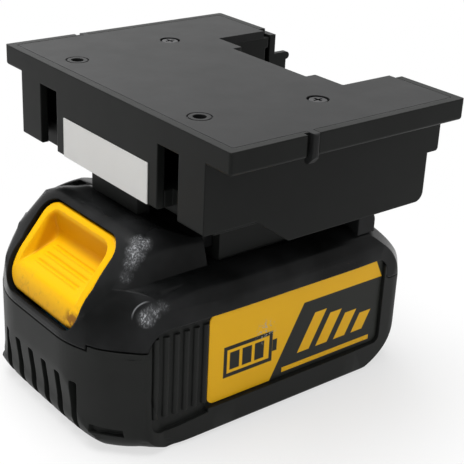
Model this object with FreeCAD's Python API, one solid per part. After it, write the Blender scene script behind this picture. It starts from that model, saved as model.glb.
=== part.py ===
"""Battery adapter docked on a slide-on battery pack.

Frame: millimetres, +Z up, +X from the pack's release button to its contact end,
origin on the floor below the middle of the whole.
"""
import FreeCAD, Part
import math
import os

V = FreeCAD.Vector

# Battery pack, outer form
pack_front_x = -59.4
pack_rear_x = 57.8
pack_half_width = 39.0
pack_front_half_width = 38.0
pack_rear_half_width = 38.0
side_bulge_front_x = -14.0
side_bulge_rear_x = 32.0
side_bulge_radius = 150.0
shoulder_height = 50.7
pack_wall = 3.0
base_set_in = 2.6
base_front_fillet = 12.0
base_rear_fillet = 9.0
waist_height = 22.0
waist_radius = 25.0
front_slope_deg = 50.0
front_knee_height = 40.4
front_knee_radius = 14.0
rear_knee_height = 35.0
rear_knee_set_in = 0.8
rear_top_set_in = 15.3
rear_knee_radius = 14.0
rear_top_radius = 8.0
front_flat_half_width = 16.0
front_bulge_radius = 30.0
front_bulge_depth = 6.2
plan_corner_front = 13.0
plan_corner_rear = 9.0
lower_side_radius = 3.0
corner_front_reach = 59.7
corner_front_low_radius = 9.0
corner_bend_height = 32.0
corner_bend_radius = 25.0
corner_brow_reach = 54.6
corner_brow_radius = 8.0
corner_crest_reach = 43.8
corner_rear_reach = 63.6
corner_rear_low_radius = 14.0
corner_rear_high_radius = 20.0
shoulder_radius = 9.0
end_outline_clearance = 0.15

# Hump that holds the latch, and rail block behind it
hump_top = 62.3
crest_radius = 10.0
hump_top_rear_x = -31.0
hump_rear_x = -19.8
hump_half_width = 26.2
hump_foot_half_width = 30.2
hump_foot_height = 49.0
hump_foot_radius = 7.0
hump_side_foot = 42.0
hump_edge_radius = 8.0
hump_back_radius = 2.0
rail_block_top = 59.2
rail_block_edge = 1.5
rail_block_half_width = 26.2
rail_block_rear_x = 30.0
rail_block_root = 2.0
rail_neck_half_width = 22.6
rail_flange_bottom = 54.5
lug_front_x = 33.5
lug_length = 7.0
lug_width = 5.8
lug_height = 5.7
lug_gap = 0.6

# Parting line between the two halves of the case
seam_height = 32.0
seam_corner_rise = 1.6
seam_corner_y = 24.0
seam_step_radius = 1.5
panel_front_x = -45.5
panel_rear_x = 46.1
panel_top = 39.6
panel_front_radius = 7.5
panel_rear_radius = 5.0
seam_gap = 0.3

# Side labels and ribbed zones
label_face_y = 37.5
label_length = 70.0
label_bottom = 9.2
label_corner = 2.5
label_edge_gap = 0.4
label_rear_gap = 0.7
label_thickness = 0.35
rib_count = 6
rib_pitch = 3.4
rib_first = 3.1
rib_length = 26.0
rib_rise = 2.0
rib_radius = 1.0
rib_zone_front = 1.2
rib_zone_drop = 3.2
rib_zone_label_drop = 1.2
rib_zone_radius = 4.0

# Front vents and corner notches
vent_count = 6
vent_pitch = 7.6
vent_width = 3.0
vent_top = 20.2
vent_depth = 5.8
vent_end_radius = 0.8
corner_notch_low = 6.2
corner_notch_high = 8.6
corner_notch_depth = 12.0
corner_notch_inner_y = 25.0
corner_notch_outer_y = 33.5

# Release button, in its own frame: across, up the slope, outward
button_foot_x = -55.9
button_foot_height = 36.3
button_slope_deg = 59.0
button_width = 39.0
button_length = 27.4
button_corner = 5.5
button_depth = 7.2
button_bulge_up = 6.5
button_bulge = 3.3
button_bulge_radius = 10.0
button_gap = 0.5
button_travel = 3.2
button_edge_round = 0.7
opening_reach = 9.0
scoop_width = 31.5
scoop_lip_up = 4.5
scoop_lip_out = 3.95
scoop_deep_up = 17.8
scoop_deep_out = -5.3
scoop_deep_radius = 2.5
scoop_head_up = 25.0
scoop_head_out = 0.4
scoop_corner = 5.0
grip_count = 3
grip_pitch = 3.35
grip_first = 5.6
grip_width = 23.0
grip_radius = 0.6

# Latch behind the button
latch_half_width = 7.0
latch_arm_thickness = 3.0
latch_arm_bottom = 54.0
hook_front_x = -28.0
hook_length = 3.7
hook_tip_radius = 0.6
hook_engagement = 1.3
latch_clearance = 0.5
spring_radius = 3.0
spring_wire = 0.6
spring_turns = 4
spring_set_back = 1.1
spring_seat = 0.3

# Cells and inner parts of the pack
cell_diameter = 18.4
cell_length = 65.0
cell_pitch = 19.2
cell_columns = 5
cell_rows = 2
first_cell_x = -35.2
holder_margin = 0.8
holder_thickness = 5.9
holder_inset = 0.1
cell_clearance = 0.12
strap_thickness = 0.3
strap_width = 8.0
strap_link_width = 6.0
board_thickness = 1.6
board_length = 58.0
board_middle_x = 7.0
board_edge_gap = 1.0
board_post_height = 2.0
board_post_size = 4.0
board_post_spacing = 52.0
case_screw_front_x = -25.0
case_screw_rear_x = 32.5
case_screw_y = 34.2
case_screw_radius = 0.8
case_screw_head_radius = 1.8
case_screw_head_height = 1.0
case_screw_recess = 1.3
case_screw_length = 12.0
case_screw_fit = 0.05
case_post_length = 6.0
case_post_thickness = 2.4

# Contacts
power_contact_y = 14.0
signal_contact_y = 7.0
blade_thickness = 0.8
blade_length = 12.0
blade_tip_radius = 0.8
power_blade_height = 5.2
signal_blade_height = 4.0
blade_bottom = 53.4
slot_half_width = 1.9
slot_depth_x = 14.0
clip_leaf = 0.35
clip_gap = 0.35
clip_length = 7.0

# Adapter plate and cover
adapter_height = 96.7
plate_front_x = -35.5
plate_length = 85.5
plate_width = 114.6
lip_height = 6.5
lip_floor = 2.2
rim_width = 2.6
cover_thickness = 2.6
cover_gap = 0.15
plate_corner = 0.8
notch_corner = 0.5
lip_edge_round = 1.0

# Rear notch in plate and cover
notch_half_width = 29.7
notch_depth = 22.0
notch_inner_half_width = 17.6
notch_inner_depth = 3.7

# Holes and screws in the cover
hole_x = -25.3
hole_spacing = 61.8
hole_radius = 1.9
hole_ring_radius = 3.1
hole_ring_width = 0.45
hole_ring_depth = 0.4
hole_length = 18.0
cover_screw_x = 12.6
cover_screw_spacing = 71.6
cover_screw_recess_radius = 3.3
cover_screw_recess_depth = 1.3
cover_screw_head_radius = 2.8
cover_screw_head_height = 1.1
cover_screw_radius = 1.4
cover_screw_length = 9.0
cover_screw_tip_room = 2.0
cover_screw_fit = 0.05
cover_screw_hole_fit = 0.2
cover_screw_edge_round = 0.4
cross_arm = 1.6
cross_half_width = 0.35
cross_depth = 0.7
boss_wall = 2.0

# Adapter skirts, slots and deck
skirt_width = 94.6
skirt_wall = 2.5
skirt_front_rise = 2.0
skirt_rear_drop = 6.6
skirt_slant_front_x = -17.5
skirt_slant_rear_x = -5.5
skirt_rear_set_in = 1.7
skirt_upper_rear_out = 2.7
skirt_step_drop = 19.5
skirt_corner = 3.0
skirt_front_edge_radius = 0.6
skirt_slant_front_radius = 1.0
skirt_slant_rear_radius = 1.5
skirt_step_radius = 1.0
rear_wall_top_drop = 1.8
rear_sill_rise = 2.0
slot_width = 9.7
slot_centre_y = 31.05
slot_top_drop = 7.1
deck_bottom = 68.4
deck_thickness = 2.5
deck_front_x = -30.0
sill_height = 4.6
sill_thickness = 2.0
tie_rear_x = -26.0
carrier_gap = 0.1
strike_thickness = 3.6
strike_half_width = 12.0
strike_bottom = 63.0

# Guide rails of the adapter
rail_front_x = -15.9
rail_rear_x = 42.5
rail_wall = 3.2
rail_clearance = 0.4
rail_lip_top_clearance = 0.3
rail_floor_clearance = 0.4
rail_edge_radius = 0.4
rail_outer_radius = 0.8

# Terminal block, output block and leads
dock_clearance = 0.5
terminal_block_length = 10.0
terminal_block_half_width = 20.0
terminal_block_bottom = 52.2
terminal_block_chamfer = 1.0
terminal_block_back = 3.0
output_block_length = 7.0
output_block_height = 7.5
output_block_half_width = 14.0
output_block_chamfer = 0.8
output_tab_y = 8.0
output_tab_width = 6.3
output_tab_rise = 9.0
output_tab_set_in = 3.0
output_tab_root = 1.5
output_tab_radius = 1.5
lead_radius = 1.5
lead_bend = 6.0
lead_reach = 14.0
lead_return = 13.7

# Rear fingers, snap arms and tape label
finger_reach = 9.4
finger_thickness = 2.0
finger_top_drop = 8.6
finger_height = 12.0
finger_neck = 1.4
finger_bead_radius = 1.3
snap_front_x = -8.4
snap_length = 2.2
snap_groove = 2.0
snap_proud = 0.7
snap_notch_depth = 1.6
snap_hook_drop = 2.4
snap_hook_reach = 1.4
snap_root = 2.0
snap_edge_radius = 0.8
snap_side_round = 0.95
tape_length = 44.0
tape_height = 12.1
tape_thickness = 0.3
tape_rise = 0.2

# Values worked out from the ones above
plate_rear_x = plate_front_x + plate_length
plate_half_width = plate_width / 2
skirt_half_width = skirt_width / 2
cover_bottom = adapter_height - cover_thickness
lip_bottom = adapter_height - lip_height
deck_top = deck_bottom + deck_thickness
front_skirt_bottom = deck_bottom + skirt_front_rise
rear_skirt_bottom = deck_bottom - skirt_rear_drop
notch_x = plate_rear_x - notch_depth
notch_inner_x = notch_x - notch_inner_depth
lower_rear_x = plate_rear_x - skirt_rear_set_in
upper_rear_x = plate_rear_x + skirt_upper_rear_out
front_slope = math.radians(front_slope_deg)
button_slope = math.radians(button_slope_deg)
label_rear_x = panel_rear_x - label_rear_gap
label_front_x = label_rear_x - label_length
pocket_floor_y = label_face_y - label_thickness
beyond = 20.0


def arc_wire(corners, place):
    """A closed wire through (u, v, radius) corners, each rounded by a tangent arc."""
    count = len(corners)
    edges = []
    first = last = None
    for i in range(count):
        u, v, radius = corners[i]
        here = V(u, v, 0)
        back = V(corners[i - 1][0], corners[i - 1][1], 0) - here
        ahead = V(corners[(i + 1) % count][0], corners[(i + 1) % count][1], 0) - here
        back.normalize()
        ahead.normalize()
        if radius > 0:
            half = back.getAngle(ahead) / 2
            reach = radius / math.tan(half)
            start = here + back * reach
            end = here + ahead * reach
            middle = back + ahead
            middle.normalize()
            crown = here + middle * (radius / math.sin(half) - radius)
        else:
            start = end = here
        if last is None:
            first = start
        else:
            edges.append(Part.LineSegment(place(last), place(start)).toShape())
        if radius > 0:
            edges.append(Part.Arc(place(start), place(crown), place(end)).toShape())
        last = end
    edges.append(Part.LineSegment(place(last), place(first)).toShape())
    return Part.Wire(edges)


def side_prism(corners, half_depth, inset=0.0):
    """A solid with an outline in X and Z, carried along Y to both sides."""
    wire = arc_wire(corners, lambda p: V(p.x, -half_depth, p.y))
    face = Part.Face(wire)
    if inset:
        face = face.makeOffset2D(-inset)
    return face.extrude(V(0, 2 * half_depth, 0))


def plan_prism(corners, low, high, inset=0.0):
    """A solid with an outline in X and Y, carried up from low to high."""
    wire = arc_wire(corners, lambda p: V(p.x, p.y, low))
    face = Part.Face(wire)
    if inset:
        face = face.makeOffset2D(-inset)
    return face.extrude(V(0, 0, high - low))


def end_prism(corners, start, end, inset=0.0):
    """A solid with an outline in Y and Z, carried along X from start to end."""
    wire = arc_wire(corners, lambda p: V(start, p.x, p.y))
    face = Part.Face(wire)
    if inset:
        face = face.makeOffset2D(-inset)
    return face.extrude(V(end - start, 0, 0))


def block(x0, x1, y0, y1, z0, z1):
    """A box between two corners."""
    return Part.makeBox(x1 - x0, y1 - y0, z1 - z0, V(x0, y0, z0))


def rod(radius, length, x, y, z, axis=V(0, 0, 1)):
    """A cylinder from a point along an axis."""
    return Part.makeCylinder(radius, length, V(x, y, z), axis)


def mirrored(shape):
    """The same shape on the other side of the XZ plane."""
    return shape.mirror(V(0, 0, 0), V(0, 1, 0))


def both_sides(shape):
    """A shape and its mirror image across the XZ plane."""
    return [shape, mirrored(shape)]


def joined(shapes):
    """Several overlapping shapes as one clean solid."""
    return shapes[0].multiFuse(shapes[1:]).removeSplitter()


def slope_x(height):
    """X of the pack's sloped front at a height."""
    return pack_front_x + (height - front_knee_height) / math.tan(front_slope)


def on_slope(shape):
    """Moves a shape from the button's own frame on to the sloped front.

    In that frame X runs across the button, Y runs up the slope and Z points out of it.
    """
    up = V(math.cos(button_slope), 0, math.sin(button_slope))
    out = V(-math.sin(button_slope), 0, math.cos(button_slope))
    matrix = FreeCAD.Matrix(
        0, up.x, out.x, button_foot_x,
        -1, up.y, out.y, 0,
        0, up.z, out.z, button_foot_height,
        0, 0, 0, 1)
    placed = shape.copy()
    placed.transformShape(matrix, False, False)
    return placed


def button_back_x(height):
    """X of the button's back face at a height."""
    back_height = button_foot_height - button_depth * math.cos(button_slope)
    back_x = button_foot_x + button_depth * math.sin(button_slope)
    return back_x + (height - back_height) / math.tan(button_slope)


def button_outline(grow, low, high):
    """The button's rounded rectangle, grown on all sides, in the button's own frame."""
    half = button_width / 2 + grow
    corner = button_corner + grow
    corners = [
        (-half, -grow, corner),
        (half, -grow, corner),
        (half, button_length + grow, corner),
        (-half, button_length + grow, corner)]
    return plan_prism(corners, low, high)


def pack_side_corners():
    """Outline of the pack's body seen from the side."""
    return [
        (pack_front_x + base_set_in, 0, base_front_fillet),
        (pack_rear_x - base_set_in, 0, base_rear_fillet),
        (pack_rear_x, waist_height, waist_radius),
        (pack_rear_x - rear_knee_set_in, rear_knee_height, rear_knee_radius),
        (pack_rear_x - rear_top_set_in, shoulder_height, rear_top_radius),
        (slope_x(shoulder_height), shoulder_height, 0),
        (pack_front_x, front_knee_height, front_knee_radius),
        (pack_front_x, waist_height, waist_radius)]


def front_plan_corners(side):
    """The bulged front and one front corner seen from above, from the middle outward."""
    return [
        (pack_front_x, side * front_flat_half_width, front_bulge_radius),
        (pack_front_x + front_bulge_depth, side * pack_front_half_width, plan_corner_front)]


def pack_plan_corners():
    """Outline of the pack's body seen from above."""
    near = front_plan_corners(-1) + [
        (side_bulge_front_x, -pack_half_width, side_bulge_radius),
        (side_bulge_rear_x, -pack_half_width, side_bulge_radius),
        (pack_rear_x, -pack_rear_half_width, plan_corner_rear)]
    far = [(x, -y, radius) for x, y, radius in reversed(near)]
    return near + far


def pack_end_corners():
    """Outline of the pack's body seen from its end, a little outside its widest plan."""
    half = pack_half_width + end_outline_clearance
    return [
        (-half, 0, lower_side_radius),
        (half, 0, lower_side_radius),
        (half, shoulder_height, shoulder_radius),
        (-half, shoulder_height, shoulder_radius)]


def pack_body(inset=0.0):
    """The pack's body: its side, plan and end outlines cut one another."""
    side = side_prism(pack_side_corners(), pack_half_width + beyond, inset)
    plan = plan_prism(pack_plan_corners(), -beyond, shoulder_height + beyond, inset)
    end = end_prism(pack_end_corners(), pack_front_x - beyond, pack_rear_x + beyond, inset)
    body = side.common(plan).common(end)
    corners = corner_foot() + [
        (corner_rear_reach, shoulder_height, corner_rear_high_radius),
        (-corner_brow_reach, shoulder_height, 0)]
    return rounded_corners(body, corners, inset)


def corner_foot():
    """The lower part of the outline that rounds the pack's corners, from its front bend."""
    return [
        (-corner_front_reach, corner_bend_height, corner_bend_radius),
        (-corner_front_reach, 0, corner_front_low_radius),
        (corner_rear_reach, 0, corner_rear_low_radius)]


def rounded_corners(body, corners, inset):
    """A body cut by the same upright outline on both of its diagonals."""
    for turn in (-45, 45):
        prism = side_prism(corners, pack_rear_x + beyond, inset)
        prism.rotate(V(0, 0, 0), V(0, 0, 1), turn)
        body = body.common(prism)
    return body


def hump_body(inset=0.0):
    """The hump at the pack's front, with steep sides and rolled front corners."""
    foot = front_knee_height
    side_corners = [
        (pack_front_x, foot - waist_height, 0),
        (hump_rear_x, foot - waist_height, 0),
        (hump_rear_x, rail_block_top, rail_block_edge),
        (hump_rear_x - (hump_top - rail_block_top), rail_block_top, hump_back_radius),
        (hump_top_rear_x, hump_top, hump_back_radius),
        (slope_x(hump_top), hump_top, crest_radius),
        (pack_front_x, foot, front_knee_radius)]
    near = front_plan_corners(-1) + [(hump_rear_x, -pack_front_half_width, 0)]
    far = [(x, -y, radius) for x, y, radius in reversed(near)]
    end_corners = [
        (-pack_half_width, 0, 0),
        (pack_half_width, 0, 0),
        (pack_half_width, hump_side_foot, shoulder_radius),
        (hump_foot_half_width, hump_foot_height, hump_foot_radius),
        (hump_half_width, hump_top, hump_edge_radius),
        (-hump_half_width, hump_top, hump_edge_radius),
        (-hump_foot_half_width, hump_foot_height, hump_foot_radius),
        (-pack_half_width, hump_side_foot, shoulder_radius)]
    side = side_prism(side_corners, pack_half_width + beyond, inset)
    plan = plan_prism(near + far, 0, hump_top + beyond, inset)
    end = end_prism(end_corners, pack_front_x - beyond, hump_rear_x + beyond, inset)
    top = hump_top + pack_wall
    corners = corner_foot() + [
        (corner_rear_reach, top, 0),
        (-corner_crest_reach, top, 0),
        (-corner_brow_reach, shoulder_height, corner_brow_radius)]
    return rounded_corners(side.common(plan).common(end), corners, inset)


def rail_block():
    """The flanged block on the pack's top that the adapter's rails hold."""
    neck_foot = shoulder_height - pack_wall
    corners = [
        (-rail_neck_half_width, neck_foot, 0),
        (rail_neck_half_width, neck_foot, 0),
        (rail_neck_half_width, rail_flange_bottom, 0),
        (rail_block_half_width, rail_flange_bottom, 0),
        (rail_block_half_width, rail_block_top, rail_block_edge),
        (-rail_block_half_width, rail_block_top, rail_block_edge),
        (-rail_block_half_width, rail_flange_bottom, 0),
        (-rail_neck_half_width, rail_flange_bottom, 0)]
    return end_prism(corners, hump_rear_x - rail_block_root, rail_block_rear_x)


def contact_places():
    """Each contact's Y place with the height of its blade."""
    places = [(power_contact_y, power_blade_height), (-power_contact_y, power_blade_height)]
    for step in (-1, 0, 1):
        places.append((step * signal_contact_y, signal_blade_height))
    return places


def stop_lugs():
    """Two rounded lugs on the pack's shoulders behind the rails."""
    inner = rail_block_half_width + rail_clearance + rail_wall + lug_gap
    foot = shoulder_height - pack_wall / 2
    corners = [
        (lug_front_x, foot, 0),
        (lug_front_x + lug_length, foot, 0),
        (lug_front_x + lug_length, shoulder_height + lug_height, lug_length / 2),
        (lug_front_x, shoulder_height + lug_height, lug_length / 4)]
    wire = arc_wire(corners, lambda p: V(p.x, inner, p.y))
    return both_sides(Part.Face(wire).extrude(V(0, lug_width, 0)))


def below_seam(drop=0.0):
    """Everything below the case's stepped parting line."""
    far_front = pack_front_x - beyond
    far_rear = pack_rear_x + beyond
    line = seam_height - drop
    corners = [
        (far_front, -beyond, 0),
        (far_rear, -beyond, 0),
        (far_rear, line, 0),
        (panel_rear_x, line, seam_step_radius),
        (panel_rear_x, panel_top - drop, panel_rear_radius),
        (panel_front_x, panel_top - drop, panel_front_radius),
        (panel_front_x, line, seam_step_radius),
        (far_front, line, 0)]
    solid = side_prism(corners, pack_half_width + beyond)
    corner = block(
        far_front, panel_front_x + seam_step_radius,
        seam_corner_y, pack_half_width + beyond, 0, line + seam_corner_rise)
    return joined([solid] + both_sides(corner))


def cabin_rear_x():
    """X at which the hollow for the latch ends, clear of the pressed hook."""
    travel_x = button_travel * math.sin(button_slope)
    return hook_front_x + hook_length + travel_x + latch_clearance


def upper_case():
    """The pack's upper half: sloped front, hump, rail block and lugs."""
    shell = joined([pack_body(), hump_body(), rail_block()] + stop_lugs())
    hollow = pack_body(pack_wall)
    cabin = hump_body(pack_wall).common(block(
        pack_front_x, cabin_rear_x(),
        -rail_neck_half_width, rail_neck_half_width, 0, hump_top))
    shell = shell.cut(hollow.fuse(cabin)).cut(below_seam())
    deep = button_depth + button_travel + button_gap
    shell = shell.cut(on_slope(button_outline(button_gap, -deep, opening_reach)))
    half_slot = latch_half_width + latch_clearance
    hook_slot = block(
        hook_front_x - latch_clearance, cabin_rear_x(), -half_slot, half_slot,
        shoulder_height, hump_top + beyond)
    shell = shell.cut(hook_slot)
    for y, height in contact_places():
        slot = block(
            rail_block_rear_x - slot_depth_x, rail_block_rear_x + beyond,
            y - slot_half_width, y + slot_half_width,
            blade_bottom - latch_clearance, hump_top)
        shell = shell.cut(slot)
    return joined([shell, spring_beam()] + case_posts())


def case_posts():
    """Four posts inside the pack that run from the upper half down to the floor."""
    inner = case_screw_y - case_post_thickness / 2
    posts = []
    for x in (case_screw_front_x, case_screw_rear_x):
        post = block(
            x - case_post_length / 2, x + case_post_length / 2,
            -inner - case_post_thickness, -inner,
            pack_wall, shoulder_height - pack_wall)
        bore = rod(
            case_screw_radius + case_screw_fit, case_screw_length + case_screw_recess,
            x, -case_screw_y, 0)
        posts += both_sides(post.cut(bore))
    return posts


def beam_top():
    """Height of the beam that carries the latch spring."""
    return shoulder_height - pack_wall + spring_seat


def spring_beam():
    """The cross beam under the hump that carries the latch spring."""
    middle = spring_centre_x()
    reach = hump_half_width + pack_wall
    return block(
        middle - spring_radius - 1, middle + spring_radius + 1,
        -reach, reach, beam_top() - pack_wall, beam_top())


def spring_centre_x():
    """X of the latch spring's axis, under the hook."""
    return hook_front_x - spring_set_back


def lower_case():
    """The pack's lower half: a tub with vents, ribs, label pockets and screw recesses."""
    tub = pack_body().common(below_seam(seam_gap))
    tub = tub.cut(pack_body(pack_wall))
    tub = tub.cut(Part.makeCompound(front_vents() + corner_notches()))
    for cutter in both_sides(side_recess()):
        tub = tub.cut(cutter)
    ribs = []
    for i in range(rib_count):
        x = panel_front_x + rib_first + i * rib_pitch
        bar = rod(rib_radius, rib_length, x, -pocket_floor_y, label_bottom + rib_rise)
        ribs += both_sides(bar)
    bores = []
    for x, y in screw_places():
        bores.append(rod(case_screw_head_radius + case_screw_fit, case_screw_recess, x, y, 0))
        bores.append(rod(case_screw_radius + case_screw_fit, case_screw_length, x, y, 0))
    return joined([tub] + ribs).cut(Part.makeCompound(bores))


def front_vents():
    """Cutters for the row of upright vents that wrap under the front edge."""
    cutters = []
    for i in range(vent_count):
        y = (i - (vent_count - 1) / 2) * vent_pitch
        corners = [
            (y - vent_width / 2, -beyond, 0),
            (y + vent_width / 2, -beyond, 0),
            (y + vent_width / 2, vent_top, vent_end_radius),
            (y - vent_width / 2, vent_top, vent_end_radius)]
        cutters.append(end_prism(corners, pack_front_x - beyond, pack_front_x + vent_depth))
    return cutters


def corner_notches():
    """Cutters for the undercut low on the two front corners."""
    cutter = block(
        pack_front_x - beyond, pack_front_x + corner_notch_depth,
        corner_notch_inner_y, corner_notch_outer_y,
        corner_notch_low, corner_notch_high)
    cutter = cutter.cut(pack_body(pack_wall / 2))
    return both_sides(cutter)


def side_recess():
    """Cutter for the label pocket and the ribbed zone on the near side."""
    above = panel_top + seam_corner_rise
    zone_front_x = panel_front_x + rib_zone_front
    pocket = [
        (label_front_x, label_bottom, 0),
        (label_rear_x, label_bottom, label_corner),
        (label_rear_x, above, 0),
        (label_front_x, above, 0)]
    zone = [
        (zone_front_x, label_bottom - rib_zone_drop, rib_zone_radius),
        (label_front_x, label_bottom - rib_zone_label_drop, 0),
        (label_front_x, above, 0),
        (zone_front_x, above, 0)]
    cutters = []
    for corners in (pocket, zone):
        wire = arc_wire(corners, lambda p: V(p.x, -pocket_floor_y, p.y))
        cutters.append(Part.Face(wire).extrude(V(0, -beyond, 0)))
    return cutters[0].fuse(cutters[1])


def label(side):
    """A side label, flat on the floor of its pocket."""
    low = label_bottom + label_edge_gap
    high = panel_top - label_edge_gap
    corners = [
        (label_front_x + label_edge_gap, low, label_corner),
        (label_rear_x - label_edge_gap, low, label_corner),
        (label_rear_x - label_edge_gap, high, label_corner),
        (label_front_x + label_edge_gap, high, label_corner)]
    wire = arc_wire(corners, lambda p: V(p.x, -pocket_floor_y, p.y))
    plate = Part.Face(wire).extrude(V(0, -label_thickness, 0))
    return plate if side < 0 else mirrored(plate)


def screw_places():
    """X and Y of every case screw."""
    return [
        (x, y)
        for x in (case_screw_front_x, case_screw_rear_x)
        for y in (-case_screw_y, case_screw_y)]


def case_screws():
    """Four screws that hold the two halves of the pack together."""
    screws = []
    for x, y in screw_places():
        low = case_screw_recess - case_screw_head_height
        head = rod(case_screw_head_radius, case_screw_head_height, x, y, low)
        shank = rod(case_screw_radius, case_screw_length, x, y, low)
        screws.append(head.fuse(shank))
    return Part.makeCompound(screws)


def cell_centres():
    """X and Z of each cell's axis."""
    lowest = pack_wall + holder_margin + cell_diameter / 2
    return [
        (first_cell_x + i * cell_pitch, lowest + j * cell_pitch)
        for i in range(cell_columns)
        for j in range(cell_rows)]


def cells():
    """Round cells that lie across the pack."""
    bodies = []
    for x, z in cell_centres():
        can = rod(cell_diameter / 2, cell_length, x, -cell_length / 2, z, V(0, 1, 0))
        bodies.append(can)
    return Part.makeCompound(bodies)


def holder_top():
    """Height of the cell holders' upper edge."""
    return pack_wall + 2 * holder_margin + cell_diameter + (cell_rows - 1) * cell_pitch


def cell_holder():
    """One end frame round the cells, on the near side."""
    margin = cell_diameter / 2 + holder_margin
    last_x = first_cell_x + (cell_columns - 1) * cell_pitch
    corners = [
        (first_cell_x - margin, pack_wall, cell_diameter / 2),
        (last_x + margin, pack_wall, cell_diameter / 2),
        (last_x + margin, holder_top(), cell_diameter / 2),
        (first_cell_x - margin, holder_top(), cell_diameter / 2)]
    outer_y = -cell_length / 2 + holder_inset
    wire = arc_wire(corners, lambda p: V(p.x, outer_y, p.y))
    frame = Part.Face(wire).extrude(V(0, holder_thickness, 0))
    holes = [
        rod(cell_diameter / 2 + cell_clearance, holder_thickness, x, outer_y, z, V(0, 1, 0))
        for x, z in cell_centres()]
    frame = frame.cut(Part.makeCompound(holes))
    cavity = pack_body(pack_wall + holder_inset)
    cavity.translate(V(0, 0, -holder_inset))
    frame = frame.common(cavity)
    posts = []
    for x in board_post_places():
        posts.append(block(
            x - board_post_size / 2, x + board_post_size / 2,
            outer_y + board_edge_gap, outer_y + holder_thickness,
            holder_top() - holder_margin, holder_top() + board_post_height))
    return joined([frame] + posts)


def board_post_places():
    """X of each post that carries the control board."""
    return [board_middle_x - board_post_spacing / 2, board_middle_x + board_post_spacing / 2]


def cell_straps():
    """Welded strips that join neighbouring columns of cells on each end."""
    straps = []
    low = cell_centres()[0][1]
    high = low + (cell_rows - 1) * cell_pitch
    over = strap_width / 2
    for side, first in ((-1, 0), (1, 1)):
        for i in range(first, cell_columns - 1, 2):
            x0 = first_cell_x + i * cell_pitch
            x1 = x0 + cell_pitch
            middle = (x0 + x1) / 2
            y = side * cell_length / 2
            y0, y1 = sorted((y, y + side * strap_thickness))
            bars = [
                block(x0 - over, x1 + over, y0, y1, z - over, z + over)
                for z in (low, high)]
            link = block(
                middle - strap_link_width / 2, middle + strap_link_width / 2, y0, y1, low, high)
            straps.append(joined(bars + [link]))
    return Part.makeCompound(straps)


def control_board():
    """The circuit board that lies on the cell holders' posts."""
    half = cell_length / 2 - board_edge_gap
    bottom = holder_top() + board_post_height
    return block(
        board_middle_x - board_length / 2, board_middle_x + board_length / 2,
        -half, half, bottom, bottom + board_thickness)


def contact_clips(power):
    """U-shaped spring contacts that stand in the rail block's slots."""
    clips = []
    for y, height in contact_places():
        if (abs(y) == power_contact_y) != power:
            continue
        floor = blade_bottom - latch_clearance
        back = rail_block_rear_x - slot_depth_x
        inner = blade_thickness / 2 + clip_gap
        outer = inner + clip_leaf
        top = floor + height
        leaves = [
            block(back, back + clip_length, y + inner, y + outer, floor, top),
            block(back, back + clip_length, y - outer, y - inner, floor, top),
            block(back, back + clip_leaf, y - outer, y + outer, floor, top)]
        clips.append(joined(leaves))
    return Part.makeCompound(clips)


def latch_spring():
    """The coil of square wire that lifts the latch, standing on the cross beam."""
    low = beam_top() + spring_wire / 2
    high = latch_arm_bottom - spring_wire / 2
    mean_radius = spring_radius - spring_wire / 2
    helix = Part.makeHelix((high - low) / spring_turns, high - low, mean_radius)
    half = spring_wire / 2
    corners = [(-half, -half, 0), (half, -half, 0), (half, half, 0), (-half, half, 0)]
    profile = arc_wire(corners, lambda p: V(mean_radius + p.x, 0, p.y))
    coil = helix.makePipeShell([profile], True, True)
    coil.translate(V(spring_centre_x(), 0, low))
    return coil


def scoop_cutter():
    """The finger scoop: an upright head wall and a floor that falls to the front."""
    half = scoop_width / 2
    outside = button_bulge + opening_reach
    profile = [
        (scoop_lip_up, outside, 0),
        (scoop_lip_up, scoop_lip_out, 0),
        (scoop_deep_up, scoop_deep_out, scoop_deep_radius),
        (scoop_head_up, scoop_head_out, 0),
        (scoop_head_up, outside, 0)]
    wire = arc_wire(profile, lambda p: V(-half, p.x, p.y))
    trough = Part.Face(wire).extrude(V(2 * half, 0, 0))
    corners = [
        (-half, 0, 0),
        (half, 0, 0),
        (half, scoop_head_up, scoop_corner),
        (-half, scoop_head_up, scoop_corner)]
    return trough.common(plan_prism(corners, -button_depth, outside))


def grip_ridges():
    """Ridges across the scoop's floor, counted from its lip inward."""
    lip = V(0, scoop_lip_up, scoop_lip_out)
    inward = V(0, scoop_deep_up - scoop_lip_up, scoop_deep_out - scoop_lip_out)
    inward.normalize()
    ridges = []
    for i in range(grip_count):
        point = lip + inward * (grip_first + i * grip_pitch)
        ridges.append(rod(
            grip_radius, grip_width, -grip_width / 2, point.y, point.z, V(1, 0, 0)))
    return ridges


def release_button():
    """The release button: a bulged face with its finger scoop and grip ridges."""
    half = button_width / 2
    profile = [
        (0, -button_depth, 0),
        (0, 0, 0),
        (button_bulge_up, button_bulge, button_bulge_radius),
        (button_length, 0, 0),
        (button_length, -button_depth, 0)]
    wire = arc_wire(profile, lambda p: V(-half, p.x, p.y))
    body = Part.Face(wire).extrude(V(2 * half, 0, 0))
    body = body.common(button_outline(0, -button_depth, button_bulge + 1))
    rim = [
        e for e in body.Edges
        if min(v.Z for v in e.Vertexes) > -button_depth / 2
        and abs(e.CenterOfMass.x) > half - button_corner]
    rim += [
        e for e in body.Edges
        if min(v.Z for v in e.Vertexes) > -button_depth / 2
        and abs(e.CenterOfMass.x) < 1
        and not button_corner < e.CenterOfMass.y < button_length - button_corner]
    body = body.makeFillet(button_edge_round, rim)
    body = body.cut(scoop_cutter())
    return on_slope(joined([body] + grip_ridges()))


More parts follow.
